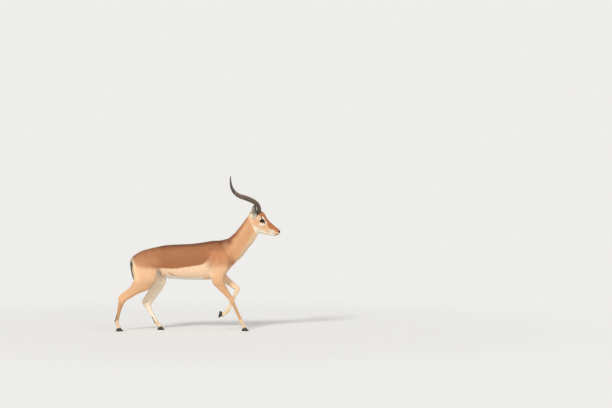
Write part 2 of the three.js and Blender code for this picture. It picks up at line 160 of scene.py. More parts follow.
# Stores a number, a vector or a colour with its alpha for each point.
def writeField(mesh, name, values):
    values = np.asarray(values, np.float32)
    width = values.size // len(values)
    kind, key = {1: ("FLOAT", "value"), 3: ("FLOAT_VECTOR", "vector"), 4: ("FLOAT_COLOR", "color")}[width]
    mesh.attributes.new(name, kind, "POINT").data.foreach_set(key, values.ravel())


def step(low, high, value):
    share = np.clip((value - low) / (high - low), 0, 1)
    return share * share * (3 - 2 * share)


def hump(distance, width):
    return np.exp(-((distance / width) ** 2))


def unit(vector):
    return vector / np.linalg.norm(vector)


def lengths(vectors):
    return np.linalg.norm(vectors, axis=1)


# Distance from each point to a line of several stretches, and the way the nearest one runs.
def nearPath(points, path):
    path = np.asarray(path, float)
    best = np.full(len(points), np.inf)
    along = np.zeros_like(points)
    for start, end in zip(path[:-1], path[1:]):
        run = end - start
        share = np.clip((points - start) @ run / (run @ run), 0, 1)
        distance = lengths(points - start - share[:, None] * run)
        nearer = distance < best
        best[nearer] = distance[nearer]
        along[nearer] = unit(run)
    return best, along


# Smooth irregular variation between about -1 and 1, from a few crossed waves.
def ripple(points, size, seed):
    rng = np.random.default_rng(seed)
    total = np.zeros(len(points))
    for _ in range(7):
        wave = rng.normal(size=3) / size
        total += np.sin(points @ wave * 2.2 + rng.uniform(0, 6.28))
    return total / 3.5


# Millimetres. x runs to the nose, y to the animal's left and z up. The head's own axes run along
# the skull (a), aside (s) and up from it (h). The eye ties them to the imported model.
drawing = {
    "headAt": (598, 0, 1060),
    "headPitch": 25.8,
    "eye": (84, 41, 29),
    "eyeRadius": 18.5,
    "earRoot": (-12, 36, 22),
    "earRise": (0.15, 0.65, 0.75),
    "earOpen": (0.62, 0.6, -0.5),
    "earLength": 140,
    "footLift": {"foreleg_left": 110},  # how much higher than the others this foot is held
}
pitch = math.radians(drawing["headPitch"])
headAt = np.array(drawing["headAt"], float)
headAxes = np.array(
    [[math.cos(pitch), 0, -math.sin(pitch)], [0, 1, 0], [math.sin(pitch), 0, math.cos(pitch)]]
)


def toHead(points):
    return (points - headAt) @ headAxes.T


def fromHead(points):
    return np.asarray(points, float) @ headAxes + headAt


eyeLow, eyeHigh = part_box("eye_left")
drawingShift = np.array((eyeLow + eyeHigh) / 2) - fromHead(drawing["eye"]) / 1000
drawingShift[1:] = 0


def toDrawing(points):
    return (points - drawingShift) * 1000


def fromDrawing(points):
    return np.asarray(points, float) / 1000 + drawingShift


def mirrored(points, side):
    return np.asarray(points, float) * (1, side, 1)


def earAxes(side):
    rise = unit(mirrored(drawing["earRise"], side))
    opening = mirrored(drawing["earOpen"], side)
    opening = unit(opening - opening @ rise * rise)
    return np.array([np.cross(opening, rise), opening, rise])


def toEar(points, side):
    root = fromHead(mirrored(drawing["earRoot"], side))
    return (points - root) @ earAxes(side).T


# Each leg's line from the shoulder or hip down to the toe: x, distance from the middle, z.
legLines = {
    "foreleg_right": [
        (256, 57, 718), (272, 69, 590), (279, 79, 470), (339, 71, 380),
        (396, 64, 298), (491, 56, 88), (518, 53, 36), (540, 53, 0),
    ],
    "foreleg_left": [
        (264, 57, 724), (284, 69, 610), (312, 80, 505), (384, 75, 443),
        (452, 70, 393), (357, 70, 181), (309, 70, 147), (283, 70, 129),
    ],
    "hindleg_right": [
        (-450, 54, 712), (-438, 68, 572), (-470, 82, 446), (-552, 88, 370),
        (-648, 88, 292), (-696, 86, 86), (-674, 85, 36), (-656, 85, 0),
    ],
    "hindleg_left": [
        (-440, 54, 712), (-385, 71, 580), (-320, 86, 455), (-364, 92, 349),
        (-415, 92, 246), (-322, 93, 72), (-286, 94, 36), (-269, 94, 0),
    ],
}
cannonBone = 4


def legLine(leg):
    return mirrored(legLines[leg], sideOf(leg))


# One bone of a leg: where it starts and ends, the way it runs and the way behind it.
def legBone(leg, bone):
    start, end = legLine(leg)[bone : bone + 2]
    run = (end - start) / np.linalg.norm(end - start)
    behind = np.cross(run, (0, 1, 0))
    behind *= -np.sign(behind[0]) if abs(behind[0]) > 0.05 else 1
    return start, end, run, behind


skinSizes = {
    "bodyVoxel": 0.006,
    "headVoxel": 0.0021,
    "grow": 0.0006,  # closes the thin cuts between the solids
    "weld": 1e-6,
    "cutAt": (560, 0, 955),  # the coarse body and the fine head meet across the neck here
    "cutAlong": (0.55, 0, 0.83),
    "cutGap": 3.0,
    "mostTriangles": 190000,
    "hornPlug": (46, 23, 78),  # fills the horn's socket, in the head's axes
    "hornPlugRadius": 0.020,
    "hornPlugSegments": (20, 12),
    # middles in the head's axes and radii of the rounds where edges are halved, one after another
    "fineZones": [((86, 44, 29), 34), ((86, 44, 29), 26), ((262, 0, -16), 46)],
}


def joinedSolids(nodes):
    joined = bmesh.new()
    for node in nodes:
        part = formOf(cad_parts[node].data)
        bmesh.ops.remove_doubles(part, verts=part.verts, dist=skinSizes["weld"])
        part.normal_update()
        for vertex in part.verts:
            vertex.co += vertex.normal * skinSizes["grow"]
        merge(joined, part)
    return joined


def remeshed(form, voxel):
    return modified(meshOf(form), "REMESH", mode="VOXEL", voxel_size=voxel)


# Keeps the largest joined piece of a form and drops pockets left inside it.
def keepLargest(form):
    left = set(form.verts)
    islands = []
    while left:
        island = [left.pop()]
        for vertex in island:
            fresh = left.intersection(edge.other_vert(vertex) for edge in vertex.link_edges)
            left -= fresh
            island += fresh
        islands.append(island)
    largest = set(max(islands, key=len))
    bmesh.ops.delete(form, geom=[v for v in form.verts if v not in largest], context="VERTS")


def cutForm(mesh, keepHead):
    form = formOf(mesh)
    keepLargest(form)
    along = Vector(skinSizes["cutAlong"]).normalized()
    gap = skinSizes["cutGap"] / 2000 * (1 if keepHead else -1)
    bmesh.ops.bisect_plane(
        form,
        geom=form.verts[:] + form.edges[:] + form.faces[:],
        plane_co=Vector(fromDrawing(skinSizes["cutAt"])) + along * gap,
        plane_no=along,
        clear_inner=keepHead,
        clear_outer=not keepHead,
    )
    return form


def splitWideFaces(form):
    bmesh.ops.triangulate(form, faces=[face for face in form.faces if len(face.verts) > 4])


def halveEdges(form, middle, radius):
    middle = Vector(fromDrawing(fromHead(middle)))
    near = [v for v in form.verts if (Vector((v.co.x, abs(v.co.y), v.co.z)) - middle).length < radius / 1000]
    nearSet = set(near)
    edges = {e for v in near for e in v.link_edges if e.other_vert(v) in nearSet}
    bmesh.ops.subdivide_edges(form, edges=list(edges), cuts=1, use_grid_fill=True)
    splitWideFaces(form)


def makeSkinMesh():
    form = cutForm(remeshed(joinedSolids(fleshNodes[1:]), skinSizes["bodyVoxel"]), False)
    head = joinedSolids(["head", "neck", "ear_left", "ear_right", "eye_left", "eye_right"])
    around, down = skinSizes["hornPlugSegments"]
    radius = skinSizes["hornPlugRadius"]
    for side in bothSides:
        plug = Matrix.Translation(fromDrawing(fromHead(mirrored(skinSizes["hornPlug"], side))))
        bmesh.ops.create_uvsphere(head, u_segments=around, v_segments=down, radius=radius, matrix=plug)
    merge(form, cutForm(remeshed(head, skinSizes["headVoxel"]), True))
    bmesh.ops.bridge_loops(form, edges=[e for e in form.edges if e.is_boundary])
    splitWideFaces(form)
    for middle, radius in skinSizes["fineZones"]:
        halveEdges(form, middle, radius)
    bmesh.ops.recalc_face_normals(form, faces=form.faces)
    mesh = meshOf(form)
    mesh.shade_smooth()
    return mesh


def readPoints(mesh):
    return toDrawing(readRows(mesh.vertices, "co"))


def readNormals(mesh):
    return readRows(mesh.vertex_normals, "vector")


def writePoints(mesh, points):
    mesh.vertices.foreach_set("co", fromDrawing(points).astype(np.float32).ravel())
    mesh.update()


# What is known of each point of the skin: its neighbours and how far it belongs to each solid.
on = SimpleNamespace()


def neighbourMean(values):
    one, other = on.pairs.T
    count = len(values)
    total = [np.bincount(one, v[other], count) + np.bincount(other, v[one], count) for v in values.T]
    return np.stack(total, axis=1) / on.counts[:, None]


def diffused(values, rounds):
    for _ in range(rounds):
        values = 0.4 * values + 0.6 * neighbourMean(values)
    return values


# Which solid each point of the skin came from.
def partWeights(points):
    corners, faces, owner = [], [], []
    for index, node in enumerate(fleshNodes):
        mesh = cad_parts[node].data
        faces += [[len(corners) + i for i in face.vertices] for face in mesh.polygons]
        corners += [vertex.co.copy() for vertex in mesh.vertices]
        owner += [index] * len(mesh.polygons)
    tree = BVHTree.FromPolygons(corners, faces)
    nearest = [tree.find_nearest(Vector(p))[2] for p in fromDrawing(points)]
    return np.eye(len(fleshNodes))[np.array(owner)[nearest]]


def weightOf(start):
    return sum(on.soft[:, i] for i, node in enumerate(fleshNodes) if node.startswith(start))


def studySkin(mesh):
    on.pairs = readRows(mesh.edges, "vertices", 2, np.int32)
    on.counts = np.maximum(np.bincount(on.pairs.ravel(), minlength=len(mesh.vertices)), 1)
    on.raw = partWeights(readPoints(mesh))
    on.soft = diffused(on.raw, 12)
    for name in ("head", "ear", "neck", "trunk", "tail", "fore", "hind"):
        setattr(on, name, weightOf(name))


skinMesh = makeSkinMesh()
studySkin(skinMesh)
print(f"skin mesh: {len(skinMesh.vertices)} points, {len(skinMesh.polygons)} faces")

smoothing = {"rounds": 90, "fineRounds": 22, "passBand": 0.02, "strength": 0.6}


# Smooths without shrinking: each round pulls in and then pushes out a little more.
def smoothed(points, strength, rounds):
    pull = smoothing["strength"]
    push = 1 / (smoothing["passBand"] - 1 / pull)
    for _ in range(rounds):
        for amount in (pull, push):
            points = points + (amount * strength)[:, None] * (neighbourMean(points) - points)
    return points


def smoothBody(points):
    lowLeg = step(430, 330, points[:, 2]) * (on.fore + on.hind)
    a, s, h = toHead(points).T
    poll = step(75, 35, np.hypot(a + 40, h - 40)) * (1 - on.ear)
    chin = step(22, 12, np.hypot(a - 268, h + 46)) * on.head
    fine = np.clip(on.head + on.ear, 0, 1) * (1 - poll) * (1 - 0.8 * chin)
    points = smoothed(points, (1 - fine) * (1 - 0.5 * lowLeg) * (1 - 0.7 * on.tail), smoothing["rounds"])
    return smoothed(points, 0.25 + 0.75 * fine, smoothing["fineRounds"])


coatDepth = {"body": 2.6, "leg": 1.4, "face": 0.9, "ear": 0.3, "tail": 1.5}


def sinkUnderCoat(points, normals):
    legs = on.fore + on.hind
    lowLeg = step(520, 380, points[:, 2]) * legs
    body = np.clip(on.neck + on.trunk + legs * (1 - lowLeg), 0, 1)
    depth = (
        coatDepth["body"] * body
        + coatDepth["leg"] * np.minimum(lowLeg, legs)
        + coatDepth["face"] * on.head
        + coatDepth["ear"] * on.ear
        + coatDepth["tail"] * on.tail
    )
    return points - depth[:, None] * normals


# Strokes seen from the side: part, width, how far it rises (or sinks) and path in x and z.
bodyStrokes = [
    ("shoulder", 16, 4.0, [(352, 770), (382, 700), (372, 640)]),
    ("shoulder", 13, 2.6, [(246, 836), (300, 760), (352, 690)]),
    ("shoulder", 22, -2.8, [(205, 790), (178, 700), (186, 610), (214, 560)]),
    ("shoulder", 22, -2.2, [(300, 640), (236, 600), (216, 560)]),
    ("shoulder", 26, 2.6, [(330, 700), (268, 690), (226, 730)]),
    ("barrel", 44, -6.0, [(-236, 742), (-250, 690)]),
    ("barrel", 14, 3.4, [(-176, 522), (-232, 560), (-262, 620)]),
    ("barrel", 22, 5.5, [(-292, 778), (-306, 764)]),
    ("haunch", 18, 4.0, [(-520, 742), (-534, 716)]),
    ("haunch", 18, -2.6, [(-486, 724), (-494, 640), (-506, 560), (-520, 500)]),
    ("haunch", 16, -2.2, [(-340, 700), (-392, 640), (-404, 560), (-430, 500)]),
    ("haunch", 20, 3.0, [(-316, 560), (-322, 520)]),
    ("neck", 20, -2.4, [(598, 976), (520, 862), (430, 760), (390, 700)]),
    ("neck", 26, 2.4, [(560, 1030), (470, 920), (400, 850)]),
]
ribs = {"x": np.linspace(96, -172, 8), "top": 760, "bottom": 560, "lean": -0.3, "width": 9, "rise": 0.9}


def sculptBody(points, normals):
    x, y, z = points.T
    facing = step(0.15, 0.6, np.abs(normals[:, 1]))
    zones = {
        "shoulder": facing * (on.fore + on.trunk + on.neck) * step(480, 560, z),
        "barrel": facing * (on.trunk + on.hind),
        "haunch": facing * (on.hind + on.trunk) * step(400, 480, z),
        "neck": facing * (on.neck + on.trunk + on.head),
    }
    rise = np.zeros(len(points))
    for zone, width, height, path in bodyStrokes:
        rise += height * hump(nearPath(points[:, [0, 2]], path)[0], width) * zones[zone]
    within = step(ribs["bottom"], ribs["bottom"] + 50, z) * step(ribs["top"], ribs["top"] - 60, z)
    for rib in ribs["x"]:
        line = rib + ribs["lean"] * (ribs["top"] - z)
        rise += ribs["rise"] * hump(x - line, ribs["width"]) * within * zones["barrel"]
    return points + rise[:, None] * normals


# Grooves between bone and tendon, and the bony joints: legs, bone, the shares of it from and to, how
# far behind it, width, how far it rises (or sinks) and the way it faces.
legStrokes = [
    ("fore", 4, 0.14, 0.86, 4, 3.6, -2.0, "side"),
    ("hind", 4, 0.16, 0.86, 3, 3.8, -2.2, "side"),
    ("fore", 4, -0.05, 0.05, -18, 15, 2.4, "front"),
    ("fore", 4, 0.0, 0.03, 20, 9, 2.6, "back"),
    ("hind", 3, 0.30, 0.80, 17, 9, -4.6, "side"),
    ("fore", 4, 0.95, 1.0, 0, 12, 1.6, "side"),
    ("hind", 4, 0.95, 1.0, 0, 12, 1.6, "side"),
    ("hind", 4, -0.02, 0.06, 0, 14, 1.6, "side"),
    ("fore", 4, 0.96, 1.02, 12, 11, 2.8, "back"),
    ("hind", 4, 0.96, 1.02, 12, 11, 2.8, "back"),
]
pasternReach = 4.5  # how far the pastern's end runs on into the hoof's top


def sculptLegs(points, normals):
    rise = np.zeros(len(points))
    for leg in legNames:
        weight = weightOf(leg)
        for legs, bone, first, last, back, width, height, face in legStrokes:
            if not leg.startswith(legs):
                continue
            start, end, run, behind = legBone(leg, bone)
            path = np.array([start + (end - start) * share + behind * back for share in (first, last)])
            facing = {
                "side": step(0.3, 0.7, np.abs(normals[:, 1])),
                "front": step(0.0, 0.5, -normals @ behind),
                "back": step(0.0, 0.5, normals @ behind),
            }[face]
            distance, _ = nearPath(points[:, [0, 2]], path[:, [0, 2]])
            rise += height * hump(distance, width) * facing * weight
        coronet, _, run, _ = legBone(leg, 6)
        near = step(-20, -6, (points - coronet) @ run)
        near = near * step(70, 50, lengths(points - coronet))
        points = points + (pasternReach * near * weight)[:, None] * run
    return points + rise[:, None] * normals


# The face, in the head's axes: part, width, how far it rises (or sinks), how it is seen and path.
# From the side that has a and h, from the front s and h, and in space all three.
mouthLine = [(208, -43), (238, -40), (262, -32), (290, -20)]
nostrilLine = [(289, 6, -1), (285, 12, 4), (277, 17, 6), (268, 19.5, 1)]
faceStrokes = [
    ("temple", 11, -2.4, "space", [(66, 40, 66), (48, 42, 46)]),
    ("brow", 7, 2.4, "space", [(60, 38, 56), (84, 43, 55), (104, 38, 44)]),
    ("cheekbone", 7, 2.4, "space", [(124, 34, 4), (100, 45, -4), (72, 50, -6), (52, 48, 4)]),
    ("cheek hollow", 10, -3.0, "space", [(150, 30, -18), (116, 36, -22), (92, 42, -24)]),
    ("jaw muscle", 22, 2.4, "space", [(72, 40, -44), (54, 38, -34)]),
    ("tear gland", 5, -2.0, "space", [(112, 40, 16), (132, 33, 8)]),
    ("nose bone", 5, 1.4, "space", [(120, 20, 58), (180, 15, 40), (236, 11, 28)]),
    ("nose side", 9, -2.4, "space", [(136, 30, 26), (190, 25, 14), (236, 22, 2)]),
    ("lip pad", 10, 2.4, "space", [(240, 25, -24), (266, 22, -16)]),
    ("mouth", 1.7, -3.6, "side", mouthLine),
    ("upper lip", 3.4, 1.2, "side", [(214, -37), (262, -26), (290, -14)]),
    ("lower lip", 4.0, 1.4, "side", [(214, -49), (246, -46), (264, -39), (280, -30)]),
    ("philtrum", 1.4, -1.8, "front", [(0, -5), (0, -20)]),
    ("nostril", 2.5, -7.0, "space", nostrilLine),
    ("nostril rim", 3.2, 1.6, "space", [(290, 6, 6), (285, 14, 11), (275, 19, 12), (264, 22, 6)]),
    ("nose pad", 5, 1.0, "front", [(0, -2), (0, 4)]),
    ("chin fold", 7, -1.2, "space", [(252, 16, -58), (228, 20, -58)]),
    ("throat fold", 8, -2.0, "space", [(18, 34, -62), (-4, 38, -34), (-10, 38, 0)]),
]


def sculptFace(points, normals):
    local = toHead(points)
    local[:, 1] = np.abs(local[:, 1])
    axes = {"space": [0, 1, 2], "side": [0, 2], "front": [1, 2]}
    behindNose = 9 * step(276, 270, local[:, 0])
    rise = np.zeros(len(points))
    for _, width, height, seen, path in faceStrokes:
        distance, _ = nearPath(local[:, axes[seen]], path)
        if seen == "front":
            distance = distance + behindNose
        rise += height * hump(distance, width)
    return points + (rise * np.clip(on.head + on.neck, 0, 1))[:, None] * normals


# The lids close round the eye along an almond edge. Sizes in millimetres on the eye's front.
lids = {
    "gaze": (0.22, 0.96, 0.10),
    "long": (1.0, 0.0, -0.20),  # from the back corner to the tear corner
    "middle": (1.4, -0.6),
    "halfLong": 17.5, "halfHigh": 13.4, "pointed": 1.8,
    "under": -2.6, "upperLid": 1.7, "lowerLid": 1.2, "fold": 1.2,
    "reach": 42, "widest": 3, "away": 9.0,  # where the lids end, and the measure behind the eye
}


def eyeFrame(side):
    middle = fromHead(mirrored(drawing["eye"], side))
    gaze = unit(mirrored(lids["gaze"], side) @ headAxes)
    along = mirrored(lids["long"], side) @ headAxes
    along = unit(along - along @ gaze * gaze)
    return middle, gaze, along, np.cross(along, gaze) * -side


# How far out from the lids' edge each point lies (1 on the edge), and how high on the eye.
def lidField(points, side):
    middle, gaze, along, up = eyeFrame(side)
    out = points - middle
    radius = lengths(out)
    ray = out / np.maximum(radius, 1e-6)[:, None]
    lean = np.arccos(np.clip(ray @ gaze, -1, 1))
    reach = np.maximum(radius, drawing["eyeRadius"]) * lean / np.maximum(np.sin(lean), 1e-3)
    across = (ray @ along * reach - lids["middle"][0]) / lids["halfLong"]
    height = (ray @ up * reach - lids["middle"][1]) / lids["halfHigh"]
    power = lids["pointed"]
    field = (np.abs(across) ** power + np.abs(height) ** power) ** (1 / power)
    return np.where(ray @ gaze > 0, field, lids["away"]), height, radius, ray, middle


def sculptLids(points):
    reach = drawing["eyeRadius"]
    for side in bothSides:
        field, height, radius, ray, middle = lidField(points, side)
        near = (radius < lids["reach"]) & (field < lids["widest"]) & (points[:, 1] * side > 0)
        lid = reach + np.where(height > 0, lids["upperLid"], lids["lowerLid"])
        target = reach + lids["under"] + (lid - reach - lids["under"]) * step(0.9, 1.08, field)
        fold = lids["fold"] * hump(field - 1.42, 0.12) * step(-0.2, 0.4, height)
        natural = np.maximum(radius, lid * step(2.0, 1.4, field))
        outward = step(1.15, 1.8, field)
        moved = target * (1 - outward) + natural * outward - fold
        points = np.where(near[:, None], middle + ray * moved[:, None], points)
    return points


skinPoints = smoothBody(readPoints(skinMesh))
for change in (sinkUnderCoat, sculptBody, sculptLegs, sculptFace):
    writePoints(skinMesh, skinPoints)
    skinPoints = change(skinPoints, readNormals(skinMesh))
writePoints(skinMesh, sculptLids(skinPoints))
print("skin smoothed and sculpted")

# Thinned most where it is flattest.
skinMesh = modified(skinMesh, "DECIMATE", ratio=skinSizes["mostTriangles"] / triangleCount(skinMesh))
skinMesh.shade_smooth()
skinMesh.name = "skin"
studySkin(skinMesh)
skinPoints = readPoints(skinMesh)
skinNormals = readNormals(skinMesh)
print(f"skin thinned: {len(skinMesh.vertices)} points")

# The darkest brown is the dorsal colour, deepened as painted shade where the back and the nose bridge face
# up.
coatColours = {
    "saddle": "A5693C", "spineAndShade": "6C391E", "edge": "AE693D", "rump": "AE744A", "shoulder": "C68354",
    "hip": "C58859", "buttock": "F8D0A4", "thigh": "ECB889", "flank": "FAD4AE", "belly": "FAF3E6",
    "bellyLine": "C48A57", "neck": "DEA575", "nape": "AC633C", "throat": "F4D4AD", "leg": "E2AE80",
    "innerLeg": "F4D2AA", "innerThighAndLight": "FFEACE", "cannon": "C0905F", "pastern": "E8C9A4",
    "cap": "B96F3C", "cheek": "E8C19A", "cheekPatch": "DFAA7C", "stripe": "EFDFCB", "white": "F5EAD6",
    "muzzle": "EBDCC8", "black": "0E0B0A", "earBack": "B98A63", "tailDark": "38251A",
}
sheet = {name: linear(value) for name, value in coatColours.items()}

markings = {
    # the saddle's lower edge, and how softly it ends
    "saddleX": [-560, -470, -390, -279, -114, 12, 123, 161, 200, 260, 340, 420],
    "saddleZ": [640, 615, 603, 601, 601, 621, 637, 668, 700, 690, 690, 740],
    "softX": [-560, -310, -280, 130, 165, 420],
    "soft": [40, 26, 6, 6, 30, 45],
    # the white belly's upper edge, and the line along it
    "bellyX": [-262, -225, -200, -137, -57, 0, 200, 330],
    "bellyZ": [566, 556, 540, 514, 502, 497, 502, 520],
    "bellyLine": [(-210, 563), (-137, 524), (-57, 514), (60, 508)],
    # the front edge of the pale strip down the buttock
    "stripZ": [480, 497, 552, 643, 690],
    "stripX": [-472, -478, -496, -522, -532],
    # the lower edge of the brown cap and bridge, in the head's a and h
    "capA": [-30, 12, 30, 50, 62, 101, 137, 150, 165, 185, 205, 225, 245, 258, 266, 276],
    "capH": [94, 92, 66, 60, 67, 52, 24, 8, -4, -10, -6, -2, -10, -14, -2, 9],
    # the dark streaks inside the ear, and the black patch above each hind fetlock
    "earStreaks": (-13, 0, 12),
    "glandShares": (0.74, 0.93),
}


# Lays colours over a first one, each by its share. They are names on the sheet or colours by point.
def layered(first, *layers):
    colour = sheet[first] if isinstance(first, str) else first
    for over, share in layers:
        over = sheet[over] if isinstance(over, str) else over
        share = np.asarray(share, float)[:, None]
        colour = colour * (1 - share) + over * share
    return colour


def colourBody(points, normals):
    x, y, z = points.T
    wobble = ripple(points, 22, 3) * 3
    saddleLow = np.interp(x, markings["saddleX"], markings["saddleZ"]) + wobble
    soft = np.interp(x, markings["softX"], markings["soft"])
    # Darker along the top of the back: partly the dorsal colour, partly painted shade where the back faces
    # up.
    spineAndShade = step(0.1, 0.75, normals[:, 2]) * step(95, 25, np.abs(y))
    spineAndShade = spineAndShade * (1 - 0.6 * step(-250, -340, x)) * (1 - 0.4 * step(300, 390, x))
    brown = layered(
        "saddle",
        ("shoulder", step(140, 230, x) * step(800, 740, z)),
        ("rump", step(-250, -420, x)),
        ("hip", 0.85 * step(-235, -370, x) * step(740, 650, z)),
        ("neck", 0.7 * step(290, 390, x)),
        ("edge", hump(z - saddleLow - 16, 16) * step(-330, -250, x) * step(-60, -140, x)),
        ("spineAndShade", spineAndShade),
    )
    limbs = np.maximum(step(-290, -340, x) * step(-560, -470, x), step(190, 240, x)) * step(430, 520, z)
    line = hump(nearPath(points[:, [0, 2]], markings["bellyLine"])[0] + wobble, 8)
    bellyHigh = np.interp(x, markings["bellyX"], markings["bellyZ"]) + wobble * 0.5
    under = np.maximum(step(4, -4, z - bellyHigh), step(-0.62, -0.85, normals[:, 2]) * step(560, 530, z))
    return layered(
        "flank",
        ("thigh", 0.75 * limbs),
        ("shoulder", 0.85 * step(575, 670, z) * step(120, 210, x) * step(470, 420, x)),
        (brown, step(-1, 1, (z - saddleLow) / soft)),
        ("bellyLine", 0.75 * line * step(60, -80, x) * step(-222, -180, x)),
        ("belly", under * step(0.35, 0.75, on.trunk + 0.6 * on.neck)),
    )


def colourNeck(points, normals):
    x, y, z = points.T
    across = (x - 468) * -0.83 + (z - 843) * 0.55
    return layered(
        "neck",
        ("nape", step(30, 85, across + ripple(points, 30, 5) * 6)),
        ("spineAndShade", 0.6 * step(45, 95, across) * step(520, 400, x)),
        ("throat", step(-45, -95, across) * 0.9),
        ("white", 0.8 * step(-60, -84, across) * step(930, 1000, z)),
    )


def colourLegs(points, normals):
    z = points[:, 2]
    colour = "leg"
    for leg in legNames:
        # The inner side of the hind legs is pale in life and painted paler still, as painted light where the
        # body shades it.
        within, dark = ("innerThighAndLight", 0.9) if leg.startswith("hind") else ("innerLeg", 0.5)
        weight = weightOf(leg)
        inner = step(0.15, 0.75, -normals[:, 1] * sideOf(leg)) * weight
        cannon = step(300, 230, z - drawing["footLift"].get(leg, 0)) * weight
        pastern, _ = nearPath(points, legLine(leg)[5:])
        colour = layered(
            colour,
            (within, inner * step(700, 560, z)),
            ("cannon", cannon * (1 - inner) * dark),
            ("pastern", step(34, 20, pastern) * weight),
        )
    return colour


def colourRump(points, normals, colour):
    x, y, z = points.T
    aside = np.abs(y)
    rear = step(-0.15, -0.5, normals[:, 0]) * step(-500, -525, x) * step(470, 510, z) * (1 - on.tail)
    stripFront = np.interp(z, markings["stripZ"], markings["stripX"])
    stripe = hump(aside - 47 - 4 * ripple(points, 30, 9), 7) * step(480, 520, z) * step(672, 630, z)
    return layered(
        colour,
        ("buttock", step(10, -10, x - stripFront) * step(465, 510, z) * step(700, 650, z) * (1 - on.tail)),
        ("white", rear * step(46, 38, aside) * step(700, 668, z)),
        ("black", np.clip(1.5 * rear * stripe, 0, 1)),
    )


def colourTail(points, normals):
    z = points[:, 2]
    rear = -normals[:, 0]
    dark = 0.8 * step(-0.8, -0.4, rear) + 0.14 * step(0.1, 0.5, rear)
    return layered(
        "white",
        ("rump", step(-0.8, -0.4, rear) * step(650, 672, z)),
        ("tailDark", dark * step(672, 650, z) * step(478, 492, z)),
    )


# The bare black skin between and round the nostrils.
def nosePad(a, s, h):
    nostril, _ = nearPath(np.stack([a, s, h], 1), [(290, 0, 0), *nostrilLine[:-1], (271, 19, 3)])
    middle = np.maximum(s / 13, np.maximum((h - 11) / 1.5 + 1, (-9 - h) / 1.5 + 1))
    wing = np.hypot((a - 277) / 13, (h - 4) / 10)
    pad = np.maximum(step(7.5, 5.5, nostril), step(1.15, 0.9, middle) * step(268, 274, a))
    return np.maximum(pad, step(1.15, 0.85, wing))


def colourHead(points, normals):
    a, s, h = toHead(points).T
    s = np.abs(s)
    side = step(0.1, 0.45, np.abs(normals[:, 1]))
    upward = normals @ headAxes[2]
    wobble = ripple(points, 9, 12)

    def spot(a0, h0, long, high, soft=0.35):
        field = np.sqrt(((a - a0) / long) ** 2 + ((h - h0) / high) ** 2)
        return step(1 + soft, 1 - soft, field + 0.12 * wobble) * side

    def band(path, width, soft=0.4):
        distance, _ = nearPath(np.stack([a, h], 1), path)
        return step(width * (1 + soft), width * (1 - soft), distance + wobble) * side

    capLow = np.interp(a, markings["capA"], markings["capH"]) + 2 * wobble
    cap = np.maximum(step(-5, 5, h - capLow), step(0.5, 0.8, upward)) * step(284, 278, a)
    lip, _ = nearPath(np.stack([a, h], 1), mouthLine)
    rims = [
        ("black", (points[:, 1] * hand > 0) * step(1.5, 1.3, lidField(points, hand)[0] + 0.06 * wobble))
        for hand in bothSides
    ]
    along = (a - 86) * 0.9 + (h - 26) * 0.435
    across = (h - 26) * 0.9 - (a - 86) * 0.435
    socket = np.hypot(along / 26, across / 16) + 0.04 * wobble
    # Painted shade: a darker line along the top of the nose bridge.
    ridge = step(15, 5, s) * step(80, 130, a) * step(262, 220, a) * step(0.3, 0.8, upward)
    return layered(
        "cheek",
        ("cheekPatch", 0.8 * spot(40, -10, 34, 26, 0.6)),
        ("cheekPatch", 0.6 * spot(128, -14, 34, 13, 0.6)),
        ("cheekPatch", 0.35 * step(0.1, 1.2, ripple(points, 12, 31)) * step(-60, -30, h)),
        ("white", 0.8 * step(-44, -62, h) * step(0, 40, a)),
        ("nape", step(46, 26, s) * step(36, 10, a) * step(30, 60, h)),
        ("cap", cap * step(-20, 30, a)),
        ("spineAndShade", 0.7 * ridge),
        ("stripe", band([(68, 65), (101, 48), (135, 25)], 4.4)),
        ("white", 0.95 * spot(91, -9, 21, 11)),
        ("white", 0.9 * band([(104, -4), (116, 8), (120, 18)], 5.0)),
        ("muzzle", 0.9 * spot(214, -26, 30, 16, 0.5)),
        ("cheekPatch", 0.8 * spot(248, -12, 12, 8, 0.5)),
        ("white", step(-34, -42, h) * step(200, 225, a)),
        ("black", 0.92 * band([(76, 40), (64, 53), (55, 64)], 5.6)),
        ("black", 0.9 * band([(22, 62), (8, 84), (2, 100)], 7.0)),
        ("black", 0.92 * step(2.9, 1.6, lip) * step(212, 226, a)),
        ("black", nosePad(a, s, h + wobble)),
        *rims,
        ("black", step(1.12, 0.88, socket) * side),
        ("black", band([(108, 22), (120, 15)], 3.5)),
    )


def colourEars(points, normals):
    colour = "earBack"
    for side in bothSides:
        across, opening, rise = toEar(points, side).T
        share = rise / drawing["earLength"]
        upward = np.maximum(0, normals @ earAxes(side)[2]) * step(0.5, 0.3, share)
        inside = step(-0.3, 0.1, normals @ earAxes(side)[1] + 0.8 * upward)
        front = step(13, 21, across * side) * step(0.08, 0.2, share)
        streaks = [
            ("black", 0.9 * hump(across - middle * (0.5 + share), 3.6) * step(0.0, 0.12, share))
            for middle in markings["earStreaks"]
        ]
        shade = layered(
            "earBack",
            (layered("white", *streaks), inside),
            ("black", np.maximum(0.85 * front, step(0.74, 0.86, share))),
            ("white", step(0.22, 0.05, share) * 0.6),
        )
        colour = layered(colour, (shade, points[:, 1] * side > 0))
    return colour


